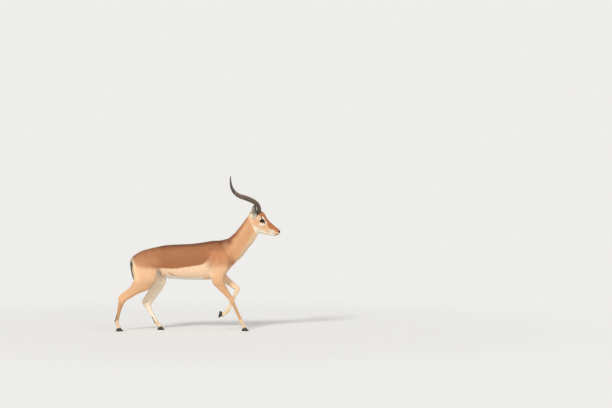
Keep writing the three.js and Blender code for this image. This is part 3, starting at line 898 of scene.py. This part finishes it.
def paintSkin(points, normals):
    weights = diffused(on.raw, 5)
    body, neck, legs, head, tail, ears = [
        colouring(points, normals)
        for colouring in (colourBody, colourNeck, colourLegs, colourHead, colourTail, colourEars)
    ]
    parts = {"trunk": body, "neck": neck, "head": head, "tail": tail, "ear_left": ears, "ear_right": ears}
    for leg in legNames:
        inner = step(0.1, 0.6, -normals[:, 1] * sideOf(leg))
        parts[leg] = layered(legs, (body, step(430, 560, points[:, 2]) * (1 - inner)))
    colour = sum(weights[:, [i]] * parts[name] for i, name in enumerate(fleshNodes))
    for side in bothSides:
        across, opening, rise = toEar(points, side).T
        bowl = step(2, 12, rise) * step(36, 28, np.hypot(across, opening)) * (points[:, 1] * side > 0)
        colour = layered(colour, (ears, bowl))
    fade = diffused(weights[:, [fleshNodes.index("neck")]], 25)[:, 0] * (1 - on.head)
    colour = layered(colour, (neck, np.clip(fade, 0, 1) * 0.5 * on.trunk))
    a, s, h = toHead(points).T
    byEar = step(30, 20, np.hypot(a + 8, h - 32)) * step(18, 26, np.abs(s)) * (1 - on.ear)
    colour = layered(colourRump(points, normals, colour), ("white", 0.85 * byEar))
    for leg in ("hindleg_left", "hindleg_right"):
        start, end, _, behind = legBone(leg, cannonBone)
        distance, _ = nearPath(points, [start + (end - start) * share for share in markings["glandShares"]])
        gland = step(0.1, 0.5, normals @ behind) * step(30, 22, distance) * weightOf(leg)
        colour = layered(colour, ("black", gland))
    mottle = 1 + 0.02 * ripple(points, 16, 21) + 0.015 * ripple(points, 5, 22)
    return np.column_stack([np.clip(colour * mottle[:, None], 0, 1), np.ones(len(points))])


skinColour = paintSkin(skinPoints, skinNormals)
print("skin marked")

coatSizes = {
    # lengths of hair in millimetres, by height on the legs and along the skull on the head
    "body": 15.0, "neck": 14.0, "ear": 6.5, "tail": 15.0,
    "legHeights": [40, 120, 330, 520], "legLengths": [5.5, 7, 8.5, 15.0],
    "skullPlaces": [-30, 60, 200, 262], "skullLengths": [10, 6.0, 4.4, 3.2],
    "tipTaper": 0.6,  # how much shorter at the ear's tip
    "lidShare": 0.55,  # how long beside the lids, and how much longer away from them
    "lidGrowth": 0.45,
    "areaShare": 0.6,  # a tuft's area as a share of its length times its width
    "widthShare": 0.13,  # a tuft's width as a share of its length
    "bodyCover": 1.05,  # how many tufts lie over each point
    "fineCover": 0.5,
    "landing": 0.8,  # the share of a tuft at which it meets the skin again
    "proud": 0.1,
    "shortest": 0.3,  # a landing nearer than this share is left out
}


# The way the hair lies along the skin.
def coatLie(points, normals):
    down = step(20, -40, toHead(points)[:, 2])[:, None]
    flow = (
        on.trunk[:, None] * np.array([-0.95, 0, -0.22])
        + on.neck[:, None] * np.array([-0.74, 0, -0.67])
        + on.head[:, None] * (-headAxes[0] - 0.25 * headAxes[2] * down)
        + on.tail[:, None] * np.array([0.05, 0, -1.0])
    )
    for name, side in sides.items():
        flow += weightOf(f"ear_{name}")[:, None] * earAxes(side)[2]
    sweep = step(430, 640, points[:, 2])[:, None] * np.array([-0.7, 0, 0.1])
    for leg in legNames:
        flow += weightOf(leg)[:, None] * (nearPath(points, legLine(leg))[1] + sweep)
    flow = diffused(flow, 10)
    flow -= np.sum(flow * normals, axis=1)[:, None] * normals
    return flow / np.maximum(lengths(flow), 1e-6)[:, None]


def coatLength(points):
    a, s, h = toHead(points).T
    z = points[:, 2] - sum(weightOf(leg) * lift for leg, lift in drawing["footLift"].items())
    onLeg = np.interp(z, coatSizes["legHeights"], coatSizes["legLengths"])
    onHead = np.interp(a, coatSizes["skullPlaces"], coatSizes["skullLengths"])
    earTaper = np.ones(len(points))
    byEye = np.ones(len(points))
    for side in bothSides:
        here = points[:, 1] * side > 0
        share = toEar(points, side)[:, 2] / drawing["earLength"]
        earTaper = np.where(here, 1 - coatSizes["tipTaper"] * step(0.75, 0.98, share), earTaper)
        fromLids = step(1.3, 3.0, lidField(points, side)[0])
        byEye = np.where(here, coatSizes["lidShare"] + coatSizes["lidGrowth"] * fromLids, byEye)
    length = (
        coatSizes["body"] * on.trunk
        + coatSizes["neck"] * on.neck
        + onLeg * (on.fore + on.hind)
        + onHead * on.head
        + coatSizes["ear"] * earTaper * on.ear
        + coatSizes["tail"] * on.tail
    )
    return length * byEye


# None on bare skin: the nose, the lips' edges and the lids.
def coatShare(points):
    a, s, h = toHead(points).T
    share = 1 - nosePad(a, np.abs(s), h) * on.head
    share *= 1 - step(2.6, 1.4, nearPath(np.stack([a, h], 1), mouthLine)[0]) * on.head
    for side in bothSides:
        share *= np.where(points[:, 1] * side > 0, step(1.15, 1.4, lidField(points, side)[0]), 1)
    return share


skinLie = coatLie(skinPoints, skinNormals)
skinLength = coatLength(skinPoints)
fineShare = step(12, 9, skinLength)
cover = coatSizes["bodyCover"] * (1 - fineShare) + coatSizes["fineCover"] * fineShare
tuftArea = coatSizes["areaShare"] * coatSizes["widthShare"] * skinLength**2
skinDensity = coatShare(skinPoints) * cover * 1e6 / tuftArea
writeField(skinMesh, "coatColour", skinColour)
print("coat planned")


def newMaterial(name):
    material = bpy.data.materials.new(name)
    material.use_nodes = True
    tree = material.node_tree
    return material, partial(addNode, tree), tree.nodes["Principled BSDF"]


coatFinish = {
    "streakMm": 1.1,  # single hairs are 0.08 mm; drawn coarse enough to show
    "streakBump": 0.3,
    "streakShades": (0.9, 1.1),
    "alongShades": (0.96, 1.02),  # from root to tip
    "ownLight": 0.3,  # how much a tuft is shaded by its own faces, and not as the skin under it
    "shader": {"Roughness": 0.58, "Specular IOR Level": 0.32, "Sheen Weight": 0.08, "IOR": 1.55},
}


# Short antelope hair: keratin, IOR 1.55, laid flat, so it gives a soft gloss along the body.
def coatMaterial(name, tufted):
    material, add, shader = newMaterial(name)
    colour = add("Attribute", attribute_name="coatColour")
    streakScale = 1000 / coatFinish["streakMm"] / 2
    place = add("TexCoord").outputs["Object"]
    noise = {"Vector": place, "Scale": streakScale, "Detail": 3.0, "Roughness": 0.6}
    streaks = add("TexNoise", noise)
    low, high = coatFinish["streakShades"]
    spread = {"Value": streaks, "From Min": 0.3, "From Max": 0.7, "To Min": low, "To Max": high}
    shade = add("MapRange", spread)
    bump = {"Height": streaks, "Strength": coatFinish["streakBump"], "Distance": 0.0006}
    relief = add("Bump", bump)
    if tufted:
        low, high = coatFinish["alongShades"]
        along = add("Attribute", attribute_name="tuftAlong").outputs["Fac"]
        tip = add("MapRange", {"Value": along, "To Min": low, "To Max": high})
        single = add("Attribute", attribute_name="tuftShade").outputs["Fac"]
        tip = add("Math", {0: single, 1: tip}, operation="MULTIPLY")
        shade = add("Math", {0: shade, 1: tip}, operation="MULTIPLY")
        own = add("NewGeometry").outputs["Normal"]
        under = add("Attribute", attribute_name="coatNormal").outputs["Vector"]
        share = {"Factor": coatFinish["ownLight"], 4: under, 5: own}
        leaning = add("Mix", share, data_type="VECTOR")
        wire(relief, {"Normal": add("VectorMath", {0: leaning}, operation="NORMALIZE")})
    shaded = add("VectorMath", {0: colour, "Scale": shade}, operation="SCALE")
    wire(shader, {"Base Color": shaded, "Normal": relief, **coatFinish["shader"]})
    return material


def addPiece(piece, material, slot, *replaced):
    if material:
        piece.data.materials.append(material)
    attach(piece, "root")
    if replaced:
        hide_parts(*replaced)


skinMaterial = coatMaterial("short hair on skin", False)
tuftMaterial = coatMaterial("short hair in tufts", True)
addPiece(linked("skin", skinMesh), skinMaterial, "saddle_coat", *fleshNodes)

tuftShape = {  # one tuft a metre long lying along +X: where its rings are, half width, low and high
    "rings": [(0.0, 0.26, -0.4, -0.12), (0.42, 0.5, -0.22, 0.3)],
    "tip": (1.0, 0.0, -0.04),
    "height": 0.6,
    "faces": [(0, 2, 1), (0, 1, 4, 3), (1, 2, 5, 4), (2, 0, 3, 5), (3, 4, 6), (4, 5, 6), (5, 3, 6)],
    "mapSize": 0.003,
}


def makeTuft():
    points = []
    for x, half, low, high in tuftShape["rings"]:
        points += [(x, -half, low), (x, half, low), (x, 0, high)]
    points.append(tuftShape["tip"])
    tuft = meshObject("tuft", points, tuftShape["faces"])
    writeField(tuft.data, "tuftAlong", [x for x, y, z in points])
    writeField(tuft.data, "tuftPatch", [(x, y + 0.5, 0) for x, y, z in points])
    faceOutward(tuft.data)
    return tuft


# What the tufts read at their roots; tuftPatch is each one's own.
coatNumbers = ("coatLength", "coatDensity")
coatVectors = ("coatLie", "coatNormal", "rootPlace", "tuftPatch")
coatInputs = {
    **{"Skin": "Geometry", "Tuft": "Object", "Material": "Material", "Seed": "Int"},
    **{name: "Float" for name in ("Share", "Width", "Stray", "Lift")},
}


def coatTree():
    tree = bpy.data.node_groups.new("coat of tufts", "GeometryNodeTree")
    add = partial(addNode, tree)
    for name, kind in coatInputs.items():
        tree.interface.new_socket(name, in_out="INPUT", socket_type=f"NodeSocket{kind}")
    tree.interface.new_socket("Coat", in_out="OUTPUT", socket_type="NodeSocketGeometry")
    given = add("NodeGroupInput").outputs
    read = {}
    for kind, names in (("FLOAT", coatNumbers), ("FLOAT_VECTOR", coatVectors)):
        for name in names:
            read[name] = add("GeometryNodeInputNamedAttribute", {"Name": name}, data_type=kind)
    back = add("Math", {0: given["Stray"], 1: -1.0}, operation="MULTIPLY")
    sink = add("Math", {0: given["Lift"], 1: -0.2}, operation="MULTIPLY")
    draws = {
        "yaw": (back, given["Stray"]),
        "roll": (back, given["Stray"]),
        "lift": (sink, given["Lift"]),
        "length": (0.72, 1.22),
        "width": (0.8, 1.25),
        "shade": (0.95, 1.06),
    }
    drawn = {}
    for number, (name, (low, high)) in enumerate(draws.items(), 1):
        seed = add("Math", {0: given["Seed"], 1: number}, operation="ADD")
        drawn[name] = add("FunctionNodeRandomValue", {2: low, 3: high, "Seed": seed}, data_type="FLOAT")
    density = add("Math", {0: read["coatDensity"], 1: given["Share"]}, operation="MULTIPLY")
    spots = add(
        "GeometryNodeDistributePointsOnFaces",
        {"Mesh": given["Skin"], "Density": density, "Seed": given["Seed"]},
        distribute_method="RANDOM",
    )
    axes = {"Primary Axis": read["coatLie"], "Secondary Axis": read["coatNormal"]}
    turn = add("FunctionNodeAxesToRotation", axes, primary_axis="X", secondary_axis="Z")
    drop = add("Math", {0: drawn["lift"], 1: -1.0}, operation="MULTIPLY")
    euler = add("CombineXYZ", {"X": drawn["roll"], "Y": drop, "Z": drawn["yaw"]})
    stray = add("FunctionNodeEulerToRotation", {"Euler": euler})
    turn = add("FunctionNodeRotateRotation", {"Rotation": turn, "Rotate By": stray}, rotation_space="LOCAL")
    length = add("Math", {0: read["coatLength"], 1: drawn["length"]}, operation="MULTIPLY")
    width = add("Math", {0: length, 1: given["Width"]}, operation="MULTIPLY")
    width = add("Math", {0: width, 1: drawn["width"]}, operation="MULTIPLY")
    height = add("Math", {0: width, 1: tuftShape["height"]}, operation="MULTIPLY")
    scale = add("CombineXYZ", {"X": length, "Y": width, "Z": height})
    tuft = add("GeometryNodeObjectInfo", {"Object": given["Tuft"]}).outputs["Geometry"]
    laid = {"Points": spots, "Instance": tuft, "Rotation": turn, "Scale": scale}
    tufts = add("GeometryNodeInstanceOnPoints", laid)
    stored = {"Geometry": tufts, "Name": "tuftShade", "Value": drawn["shade"]}
    shaded = add("GeometryNodeStoreNamedAttribute", stored, data_type="FLOAT", domain="INSTANCE")
    real = add("GeometryNodeRealizeInstances", {"Geometry": shaded})
    patch = {0: read["tuftPatch"], "Scale": tuftShape["mapSize"]}
    patch = add("VectorMath", patch, operation="SCALE")
    place = add("VectorMath", {0: patch, 1: read["rootPlace"]}, operation="ADD")
    stored = {"Geometry": real, "Name": "OFBake", "Value": place}
    mapped = add("GeometryNodeStoreNamedAttribute", stored, data_type="FLOAT2", domain="CORNER")
    finished = add("GeometryNodeSetMaterial", {"Geometry": mapped, "Material": given["Material"]})
    add("NodeGroupOutput", {"Coat": finished})
    return tree


# Lays faces out flat in six squares, by the way each one faces, two rows of three.
def unwrapped(corners, facing):
    low = corners.reshape(-1, 3).min(0)
    share = (corners - low) / (corners.reshape(-1, 3).max(0) - low).max()
    rows = np.arange(len(corners))
    axis = np.argmax(np.abs(facing), axis=1)
    back = facing[rows, axis] < 0
    first = np.where(axis == 0, 1, 0)
    second = np.where(axis == 2, 1, 2)
    u = axis[:, None] + 0.03 + 0.94 * share[rows, :, first]
    v = back[:, None] + 0.03 + 0.94 * share[rows, :, second]
    return np.stack([u / 3, v / 2], axis=2)


skinMesh.calc_loop_triangles()
triangles = readRows(skinMesh.loop_triangles, "vertices", 3, np.int32)


# A tuft runs from its root to where the skin lies most of a length on, so it neither dips under
# hollows nor stands off them.
def tuftWays():
    surface = BVHTree.FromPolygons(skinPoints.tolist(), triangles.tolist())
    ahead = skinPoints + skinLie * (coatSizes["landing"] * skinLength)[:, None]
    landed = np.array([tuple(surface.find_nearest(point)[0]) for point in ahead.tolist()])
    way = landed + coatSizes["proud"] * skinNormals - skinPoints
    reach = lengths(way)
    way = np.where((reach > coatSizes["shortest"] * skinLength)[:, None], way, skinLie)
    return way / lengths(way)[:, None]


skinWay = tuftWays()


# Some of the skin's triangles with what the tufts read from them, each with corners of its own, so
# that its place on the map has no seam inside it.
def coatHost(name, chosen):
    faces = triangles[chosen]
    corners = fromDrawing(skinPoints)[faces]
    facing = np.cross(corners[:, 1] - corners[:, 0], corners[:, 2] - corners[:, 0])
    host = meshObject(name, corners.reshape(-1, 3), np.arange(len(faces) * 3).reshape(-1, 3).tolist())
    flat = faces.ravel()
    places = unwrapped(corners, facing).reshape(-1, 2)
    fields = {
        "coatColour": skinColour[flat],
        "coatLie": skinWay[flat],
        "coatNormal": skinNormals[flat],
        "coatLength": skinLength[flat] / 1000,
        "coatDensity": skinDensity[flat],
        "rootPlace": np.column_stack([places, np.zeros(len(places))]),
    }
    for field, values in fields.items():
        writeField(host.data, field, values)
    return host


tuftModel = makeTuft()
coatGroup = coatTree()
coatSettings = {
    "Tuft": tuftModel,
    "Material": tuftMaterial,
    "Share": 1.0,
    "Width": coatSizes["widthShare"],
    "Stray": 0.14,
    "Lift": 0.025,
}


def growCoat(name, chosen, slot, seed):
    host = coatHost(name, chosen)
    modifier = host.modifiers.new("Coat", "NODES")
    modifier.node_group = coatGroup
    values = {**coatSettings, "Seed": seed}
    for item in coatGroup.interface.items_tree:
        if item.in_out == "INPUT" and item.name in values:
            modifier[item.identifier] = values[item.name]
    mesh = taken(host)
    for field in {*coatNumbers, *coatVectors} - {"coatNormal"}:
        mesh.attributes.remove(mesh.attributes[field])
    mesh.name = name
    addPiece(linked(name, mesh), None, slot)
    print(f"{name}: {len(mesh.vertices) // 7} tufts, {triangleCount(mesh)} triangles")


trianglePart = np.argmax(diffused(on.raw, 4), axis=1)[triangles[:, 0]]
onLeft = skinPoints[triangles].mean(axis=1)[:, 1] >= 0


def onNodes(*nodes):
    return np.isin(trianglePart, [fleshNodes.index(node) for node in nodes])


coatPieces = [
    ("coat_face_left", onNodes("head") & onLeft, "face_coat"),
    ("coat_face_right", onNodes("head") & ~onLeft, "face_coat"),
    ("coat_ears", onNodes("ear_left", "ear_right"), "ear_coat"),
    ("coat_neck", onNodes("neck"), "saddle_coat"),
    ("coat_trunk_left", onNodes("trunk") & onLeft, "saddle_coat"),
    ("coat_trunk_right", onNodes("trunk") & ~onLeft, "saddle_coat"),
    ("coat_tail", onNodes("tail"), "tail_hair"),
    *[(f"coat_{leg}", onNodes(leg), "leg_coat") for leg in legNames],
]
for seed, (name, chosen, slot) in enumerate(coatPieces, 40):
    growCoat(name, chosen, slot, seed)
bpy.data.objects.remove(tuftModel)


# Faces between neighbouring rings of points.
def ringFaces(rings, sectors):
    index = np.arange(rings * sectors).reshape(rings, sectors)
    after = np.roll(index, -1, axis=1)
    return np.stack([index[:-1], after[:-1], after[1:], index[1:]], axis=2).reshape(-1, 4).tolist()


eyeSizes = {
    "shrink": 0.25, "cornea": 1.3, "corneaEdge": 0.62, "iris": (12.5, 12.5), "pupil": (9.5, 3.6),
    "squareness": 2.4, "rings": 40, "sectors": 56,
}


def makeEye(name, side):
    middle, gaze, along, up = eyeFrame(side)
    radius = drawing["eyeRadius"] - eyeSizes["shrink"]
    rings, sectors = eyeSizes["rings"], eyeSizes["sectors"]
    lean = np.repeat(math.pi * (np.arange(rings + 1) / rings) ** 1.3, sectors)[:, None]
    turn = np.tile(2 * math.pi * np.arange(sectors) / sectors, rings + 1)[:, None]
    across = np.sin(lean) * np.cos(turn)
    height = np.sin(lean) * np.sin(turn)
    bulge = radius + eyeSizes["cornea"] * np.exp(-((lean / eyeSizes["corneaEdge"]) ** 4))
    points = middle + bulge * (gaze * np.cos(lean) + along * across + up * height)
    eye = meshObject(name, fromDrawing(points), ringFaces(rings + 1, sectors))
    writeField(eye.data, "onEye", np.hstack([across, height, np.cos(lean)]) * radius)
    faceOutward(eye.data, weld=1e-7)
    return eye


# Wet eyeball: a clear cornea, IOR 1.376, over a dark brown iris with a wide level pupil.
def eyeMaterial():
    material, add, shader = newMaterial("wet eye")
    look = add("Attribute", attribute_name="onEye").outputs["Vector"]
    spot = add("SeparateXYZ", {"Vector": look}).outputs
    rays = add("TexNoise", {"Vector": look, "Scale": 1.4, "Detail": 2.0})
    colour = add("Mix", {0: rays, 6: rgba("100906"), 7: rgba("2C190D")}, data_type="RGBA")
    ovals = (("pupil", 0.8, 1.25, rgba("050505"), None), ("iris", 0.75, 1.05, None, rgba("0C0807")))
    for size, low, high, inner, outer in ovals:
        powers = []
        for axis, reach in zip("XY", eyeSizes[size]):
            share = add("Math", {0: spot[axis], 1: reach}, operation="DIVIDE")
            share = add("Math", {0: share}, operation="ABSOLUTE")
            powers.append(add("Math", {0: share, 1: eyeSizes["squareness"]}, operation="POWER"))
        oval = add("Math", dict(enumerate(powers)), operation="ADD")
        edge = {"Value": oval, "From Min": low, "From Max": high}
        share = add("MapRange", edge, interpolation_type="SMOOTHSTEP")
        colour = add("Mix", {0: share, 6: inner or colour, 7: outer or colour}, data_type="RGBA")
    wire(shader, {"Base Color": colour, "Roughness": 0.05, "IOR": 1.376})
    return material


wetEye = eyeMaterial()
for name, side in sides.items():
    addPiece(makeEye(f"eyeball_{name}", side), wetEye, "eye", f"eye_{name}")
print("eyes made")

hornSizes = {  # the same line as the solids follow, in the drawing's millimetres
    "line": [
        (650, 24, 1108), (659, 30, 1140), (652, 42, 1178), (634, 58, 1208), (604, 78, 1230),
        (566, 98, 1248), (525, 116, 1264), (478, 131, 1279), (440, 143, 1301), (412, 151, 1331),
        (395, 154, 1366), (387, 153, 1402), (384, 149, 1438), (384, 143, 1470),
    ],
    "root": 19.2, "shaft": 18.8, "tip": 2.4,
    "ridges": 19, "ridged": 0.70, "lean": 0.22, "depth": 2.6, "grain": 0.22,
    "rings": 300, "sectors": 40, "fineSteps": 24, "seed": 7,
}


# A smooth line through points, with even steps along it.
def smoothLine(points, count):
    points = np.asarray(points, float)
    padded = np.vstack([2 * points[0] - points[1], points, 2 * points[-1] - points[-2]])
    fine = []
    for p0, p1, p2, p3 in zip(padded[:-3], padded[1:-2], padded[2:-1], padded[3:]):
        for t in np.linspace(0, 1, hornSizes["fineSteps"], endpoint=False):
            bend = (2 * p0 - 5 * p1 + 4 * p2 - p3) * t**2 + (3 * p1 - p0 - 3 * p2 + p3) * t**3
            fine.append(0.5 * (2 * p1 + (p2 - p0) * t + bend))
    fine = np.array([*fine, points[-1]])
    reach = np.concatenate([[0], np.cumsum(lengths(np.diff(fine, axis=0)))])
    even = np.linspace(0, reach[-1], count)
    return np.stack([np.interp(even, reach, fine[:, k]) for k in range(3)], axis=1)


def makeHorn(name, side):
    count, sectors, ridged = hornSizes["rings"], hornSizes["sectors"], hornSizes["ridged"]
    line = smoothLine(mirrored(hornSizes["line"], side), count)
    tangent = np.gradient(line, axis=0)
    tangent /= lengths(tangent)[:, None]
    aside = np.cross((0, 1, 0), tangent)
    aside /= lengths(aside)[:, None]
    up = np.cross(tangent, aside)
    share = np.linspace(0, 1, count)[:, None]
    taper = hornSizes["root"] + (hornSizes["shaft"] - hornSizes["root"]) * np.minimum(1, share / 0.4)
    radius = taper + (hornSizes["tip"] - taper) * np.maximum(0, (share - 0.4) / 0.6) ** 1.15
    radius *= np.where(share > 0.985, np.sqrt(np.maximum(0.03, (1 - share) / 0.015)), 1)
    # ridges lean round the horn, stand highest in front and fade towards the smooth tip
    turn = np.linspace(0, 2 * np.pi, sectors, endpoint=False)
    phase = share / ridged * hornSizes["ridges"]
    sizes = np.random.default_rng(hornSizes["seed"]).uniform(0.75, 1.15, hornSizes["ridges"] + 2)
    size = sizes[np.clip(phase, 0, hornSizes["ridges"]).astype(int)]
    crest = 0.5 - 0.5 * np.cos(2 * np.pi * (phase - hornSizes["lean"] * np.sin(turn)))
    fade = step(1.0, 0.72, share / ridged) * step(0.05, 0.16, share)
    ridge = hornSizes["depth"] * (crest**1.6 - 0.25) * fade * (0.72 + 0.28 * np.cos(turn)) * size
    grain = hornSizes["grain"] * np.sin(turn * 17 + 2.0 * np.sin(share * 9)) * step(0.1, 0.5, share)
    reach = radius + (ridge + grain) * np.minimum(1, radius / 10)
    rings = (
        line[:, None]
        + aside[:, None] * (reach * 0.94 * np.cos(turn))[..., None]
        + up[:, None] * (reach * 1.04 * np.sin(turn))[..., None]
    )
    points = rings.reshape(-1, 3).tolist()
    faces = ringFaces(count, sectors)
    for start, order in ((0, -1), ((count - 1) * sectors, 1)):
        loop = (start + np.arange(sectors))[::order].tolist()
        points.append(np.mean(rings[start // sectors], axis=0).tolist())
        faces += [(one, other, len(points) - 1) for one, other in zip(loop, loop[1:] + loop[:1])]
    horn = meshObject(name, fromDrawing(points), faces)
    crest = crest * (share < ridged)
    writeField(horn.data, "alongHorn", [*np.repeat(share, sectors), 0, 1])
    writeField(horn.data, "ridgeCrest", [*crest.ravel(), 0, 0])
    faceOutward(horn.data)
    return horn


hornFinish = {
    "dark": "2A211C", "mid": "4E3A2D", "crestHighlight": "8A6F5A", "root": "46301F",
    "fibreMm": 1.5, "blotchScale": 45.0,
}


# Horn sheath: keratin, IOR 1.55, dark and dull in the furrows, with a patchy painted highlight on the ridge
# crests.
def hornMaterial():
    material, add, shader = newMaterial("ridged horn sheath")
    along = add("Attribute", attribute_name="alongHorn").outputs["Fac"]
    crest = add("Attribute", attribute_name="ridgeCrest").outputs["Fac"]
    place = add("TexCoord").outputs["Object"]
    fibres = {"Vector": place, "Scale": 1000 / hornFinish["fibreMm"] / 3, "Detail": 6.0}
    grain = add("TexNoise", fibres)
    blotch = add("TexNoise", {"Vector": place, "Scale": hornFinish["blotchScale"], "Detail": 4.0})
    # Painted highlight: the ridge crests are paler, broken up by blotches.
    crestHighlight = add("Math", {0: crest, 1: blotch}, operation="MULTIPLY")
    crestHighlight = add("MapRange", {"Value": crestHighlight, "From Min": 0.18, "From Max": 0.62})
    low = add("MapRange", {"Value": along, "From Min": 0.24, "From Max": 0.06, "To Max": 0.6})
    colour = rgba(hornFinish["dark"])
    for share, tone in ((grain, "mid"), (crestHighlight, "crestHighlight"), (low, "root")):
        colour = add("Mix", {0: share, 6: colour, 7: rgba(hornFinish[tone])}, data_type="RGBA")
    relief = add("Bump", {"Height": grain, "Strength": 0.5, "Distance": 0.0006})
    wire(shader, {"Base Color": colour, "Normal": relief, "Roughness": 0.42, "IOR": 1.55})
    return material


sheath = hornMaterial()
for name, side in sides.items():
    addPiece(makeHorn(f"horn_sheath_{name}", side), sheath, "horn", f"horn_{name}")
print("horns made")

hoofSizes = {"voxel": 0.0013, "rounds": 10, "smoothing": 0.5, "narrowing": 0.45, "endShare": 0.2}
hoofLines = (900, 900, 60)  # lines in a metre across the wall, and waves down it


# Draws the claw's outer wall in towards the cleft, most at the toe, the end that is the flatter.
def narrowedToe(points, cleftOnLeft):
    flat = points[:, [0, 2]] - points[:, [0, 2]].mean(axis=0)
    axes = np.linalg.eigh(flat.T @ flat)[1]
    across, along = (flat @ axes).T
    share = (along - along.min()) / np.ptp(along)
    end = hoofSizes["endShare"]
    if np.ptp(across[share > 1 - end]) > np.ptp(across[share < end]):
        share = 1 - share
    cleft = points[:, 1].max() if cleftOnLeft else points[:, 1].min()
    keep = 1 - hoofSizes["narrowing"] * step(0.4, 1.0, share) ** 1.3
    points[:, 1] = cleft + (points[:, 1] - cleft) * keep
    return points


def makeHoof(node):
    mesh = remeshed(joinedSolids([node]), hoofSizes["voxel"])
    form = formOf(mesh)
    axes = {f"use_axis_{axis}": True for axis in "xyz"}
    for _ in range(hoofSizes["rounds"]):
        bmesh.ops.smooth_vert(form, verts=form.verts, factor=hoofSizes["smoothing"], **axes)
    meshOf(form, mesh)
    boxLow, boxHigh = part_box(node)
    points = readRows(mesh.vertices, "co")
    low, high = points.min(0), points.max(0)
    points = (points - low) / (high - low) * np.array(boxHigh - boxLow) + np.array(boxLow)
    points = narrowedToe(points, node.endswith("inner") == (sideOf(node) > 0))
    mesh.vertices.foreach_set("co", points.astype(np.float32).ravel())
    mesh.shade_smooth()
    mesh.update()
    return linked("shown_" + node, mesh)


# Hoof wall: black keratin, IOR 1.55, satin, with fine lines down it.
def hoofMaterial():
    material, add, shader = newMaterial("hoof wall")
    place = add("TexCoord").outputs["Object"]
    stretched = add("Mapping", {"Vector": place, "Scale": hoofLines})
    lines = add("TexNoise", {"Vector": stretched, "Scale": 1.0, "Detail": 3.0})
    ramp = add("ValToRGB", {"Fac": lines})
    for element, tone in zip(ramp.color_ramp.elements, ("120F0E", "3A322D")):
        element.color = rgba(tone)
    relief = add("Bump", {"Height": lines, "Strength": 0.4, "Distance": 0.0004})
    wire(shader, {"Base Color": ramp, "Normal": relief, "Roughness": 0.38, "IOR": 1.55})
    return material


hoofWall = hoofMaterial()
for node in [f"hoof_{leg}_{claw}" for leg in legNames for claw in ("inner", "outer")]:
    addPiece(makeHoof(node), hoofWall, "hoof", node)
print("hooves made")

stage = {
    "pale": "EEEDEA", "floorRadius": 9.0, "floorCorners": 96, "fadeFrom": 2.3, "fadeTo": 5.0,
    "skyStrength": 0.56,
}


def makeFloor():
    turns = np.arange(stage["floorCorners"]) * 2 * math.pi / stage["floorCorners"]
    rim = np.stack([np.cos(turns), np.sin(turns), 0 * turns], axis=1) * stage["floorRadius"]
    floor = meshObject("floor", rim, [list(range(len(rim)))])
    material, add, shader = newMaterial("pale studio floor")
    pale = rgba(stage["pale"])
    wire(shader, {"Base Color": pale, "Roughness": 0.9, "Specular IOR Level": 0.1})
    place = add("TexCoord").outputs["Object"]
    reach = add("VectorMath", {0: place}, operation="LENGTH")
    edge = {"Value": reach, "From Min": stage["fadeFrom"], "From Max": stage["fadeTo"]}
    fade = add("MapRange", edge, interpolation_type="SMOOTHSTEP")
    glow = add("Emission", {"Color": pale, "Strength": 1.0})
    blend = add("MixShader", {0: fade, 1: shader, 2: glow})
    wire(material.node_tree.nodes["Material Output"], {"Surface": blend})
    floor.data.materials.append(material)


# White light from all round, seen as the floor's pale colour.
def makeWorld():
    world = bpy.data.worlds.new("studio")
    bpy.context.scene.world = world
    world.use_nodes = True
    world.node_tree.nodes.clear()
    add = partial(addNode, world.node_tree)
    path = add("LightPath").outputs
    seen = path["Is Camera Ray"]
    for ray in ("Is Glossy Ray", "Is Transmission Ray"):
        seen = add("Math", {0: seen, 1: path[ray]}, operation="MAXIMUM")
    lit = add("Background", {"Color": (1, 1, 1, 1), "Strength": stage["skyStrength"]})
    shown = add("Background", {"Color": rgba(stage["pale"]), "Strength": 1.0})
    blend = add("MixShader", {0: seen, 1: lit, 2: shown})
    add("OutputWorld", {"Surface": blend})


# Soft suns: strength, azimuth from the camera's side towards the animal's nose, elevation and spread.
lamps = {"key": (2.0, -24, 32, 12), "fill": (0.4, 60, 25, 60)}
for name, (strength, azimuth, elevation, spread) in lamps.items():
    lamp = bpy.data.lights.new(name, "SUN")
    lamp.energy = strength
    lamp.angle = math.radians(spread)
    turn, lift = math.radians(azimuth), math.radians(elevation)
    towards = Vector((math.sin(turn) * math.cos(lift), -math.cos(turn) * math.cos(lift), math.sin(lift)))
    linked(name, lamp).rotation_euler = towards.to_track_quat("Z", "Y").to_euler()

view = {"aim": (1.102, 0, 1.206), "elevation": 3.0, "distance": 50.0, "acrossAtAim": 5.814, "sensor": 36}


def makeCamera():
    camera = bpy.data.cameras.new("camera")
    camera.sensor_width = view["sensor"]
    camera.lens = view["sensor"] * view["distance"] / view["acrossAtAim"]
    camera.clip_end = 4 * view["distance"]
    made = linked("camera", camera)
    lift = math.radians(view["elevation"])
    back = np.array([0, -math.cos(lift), math.sin(lift)]) * view["distance"]
    made.location = back + view["aim"] + drawingShift
    made.rotation_euler = (math.pi / 2 - lift, 0, 0)
    bpy.context.scene.camera = made


makeFloor()
makeWorld()
makeCamera()
bpy.context.scene.view_settings.view_transform = "Standard"
print("stage set")
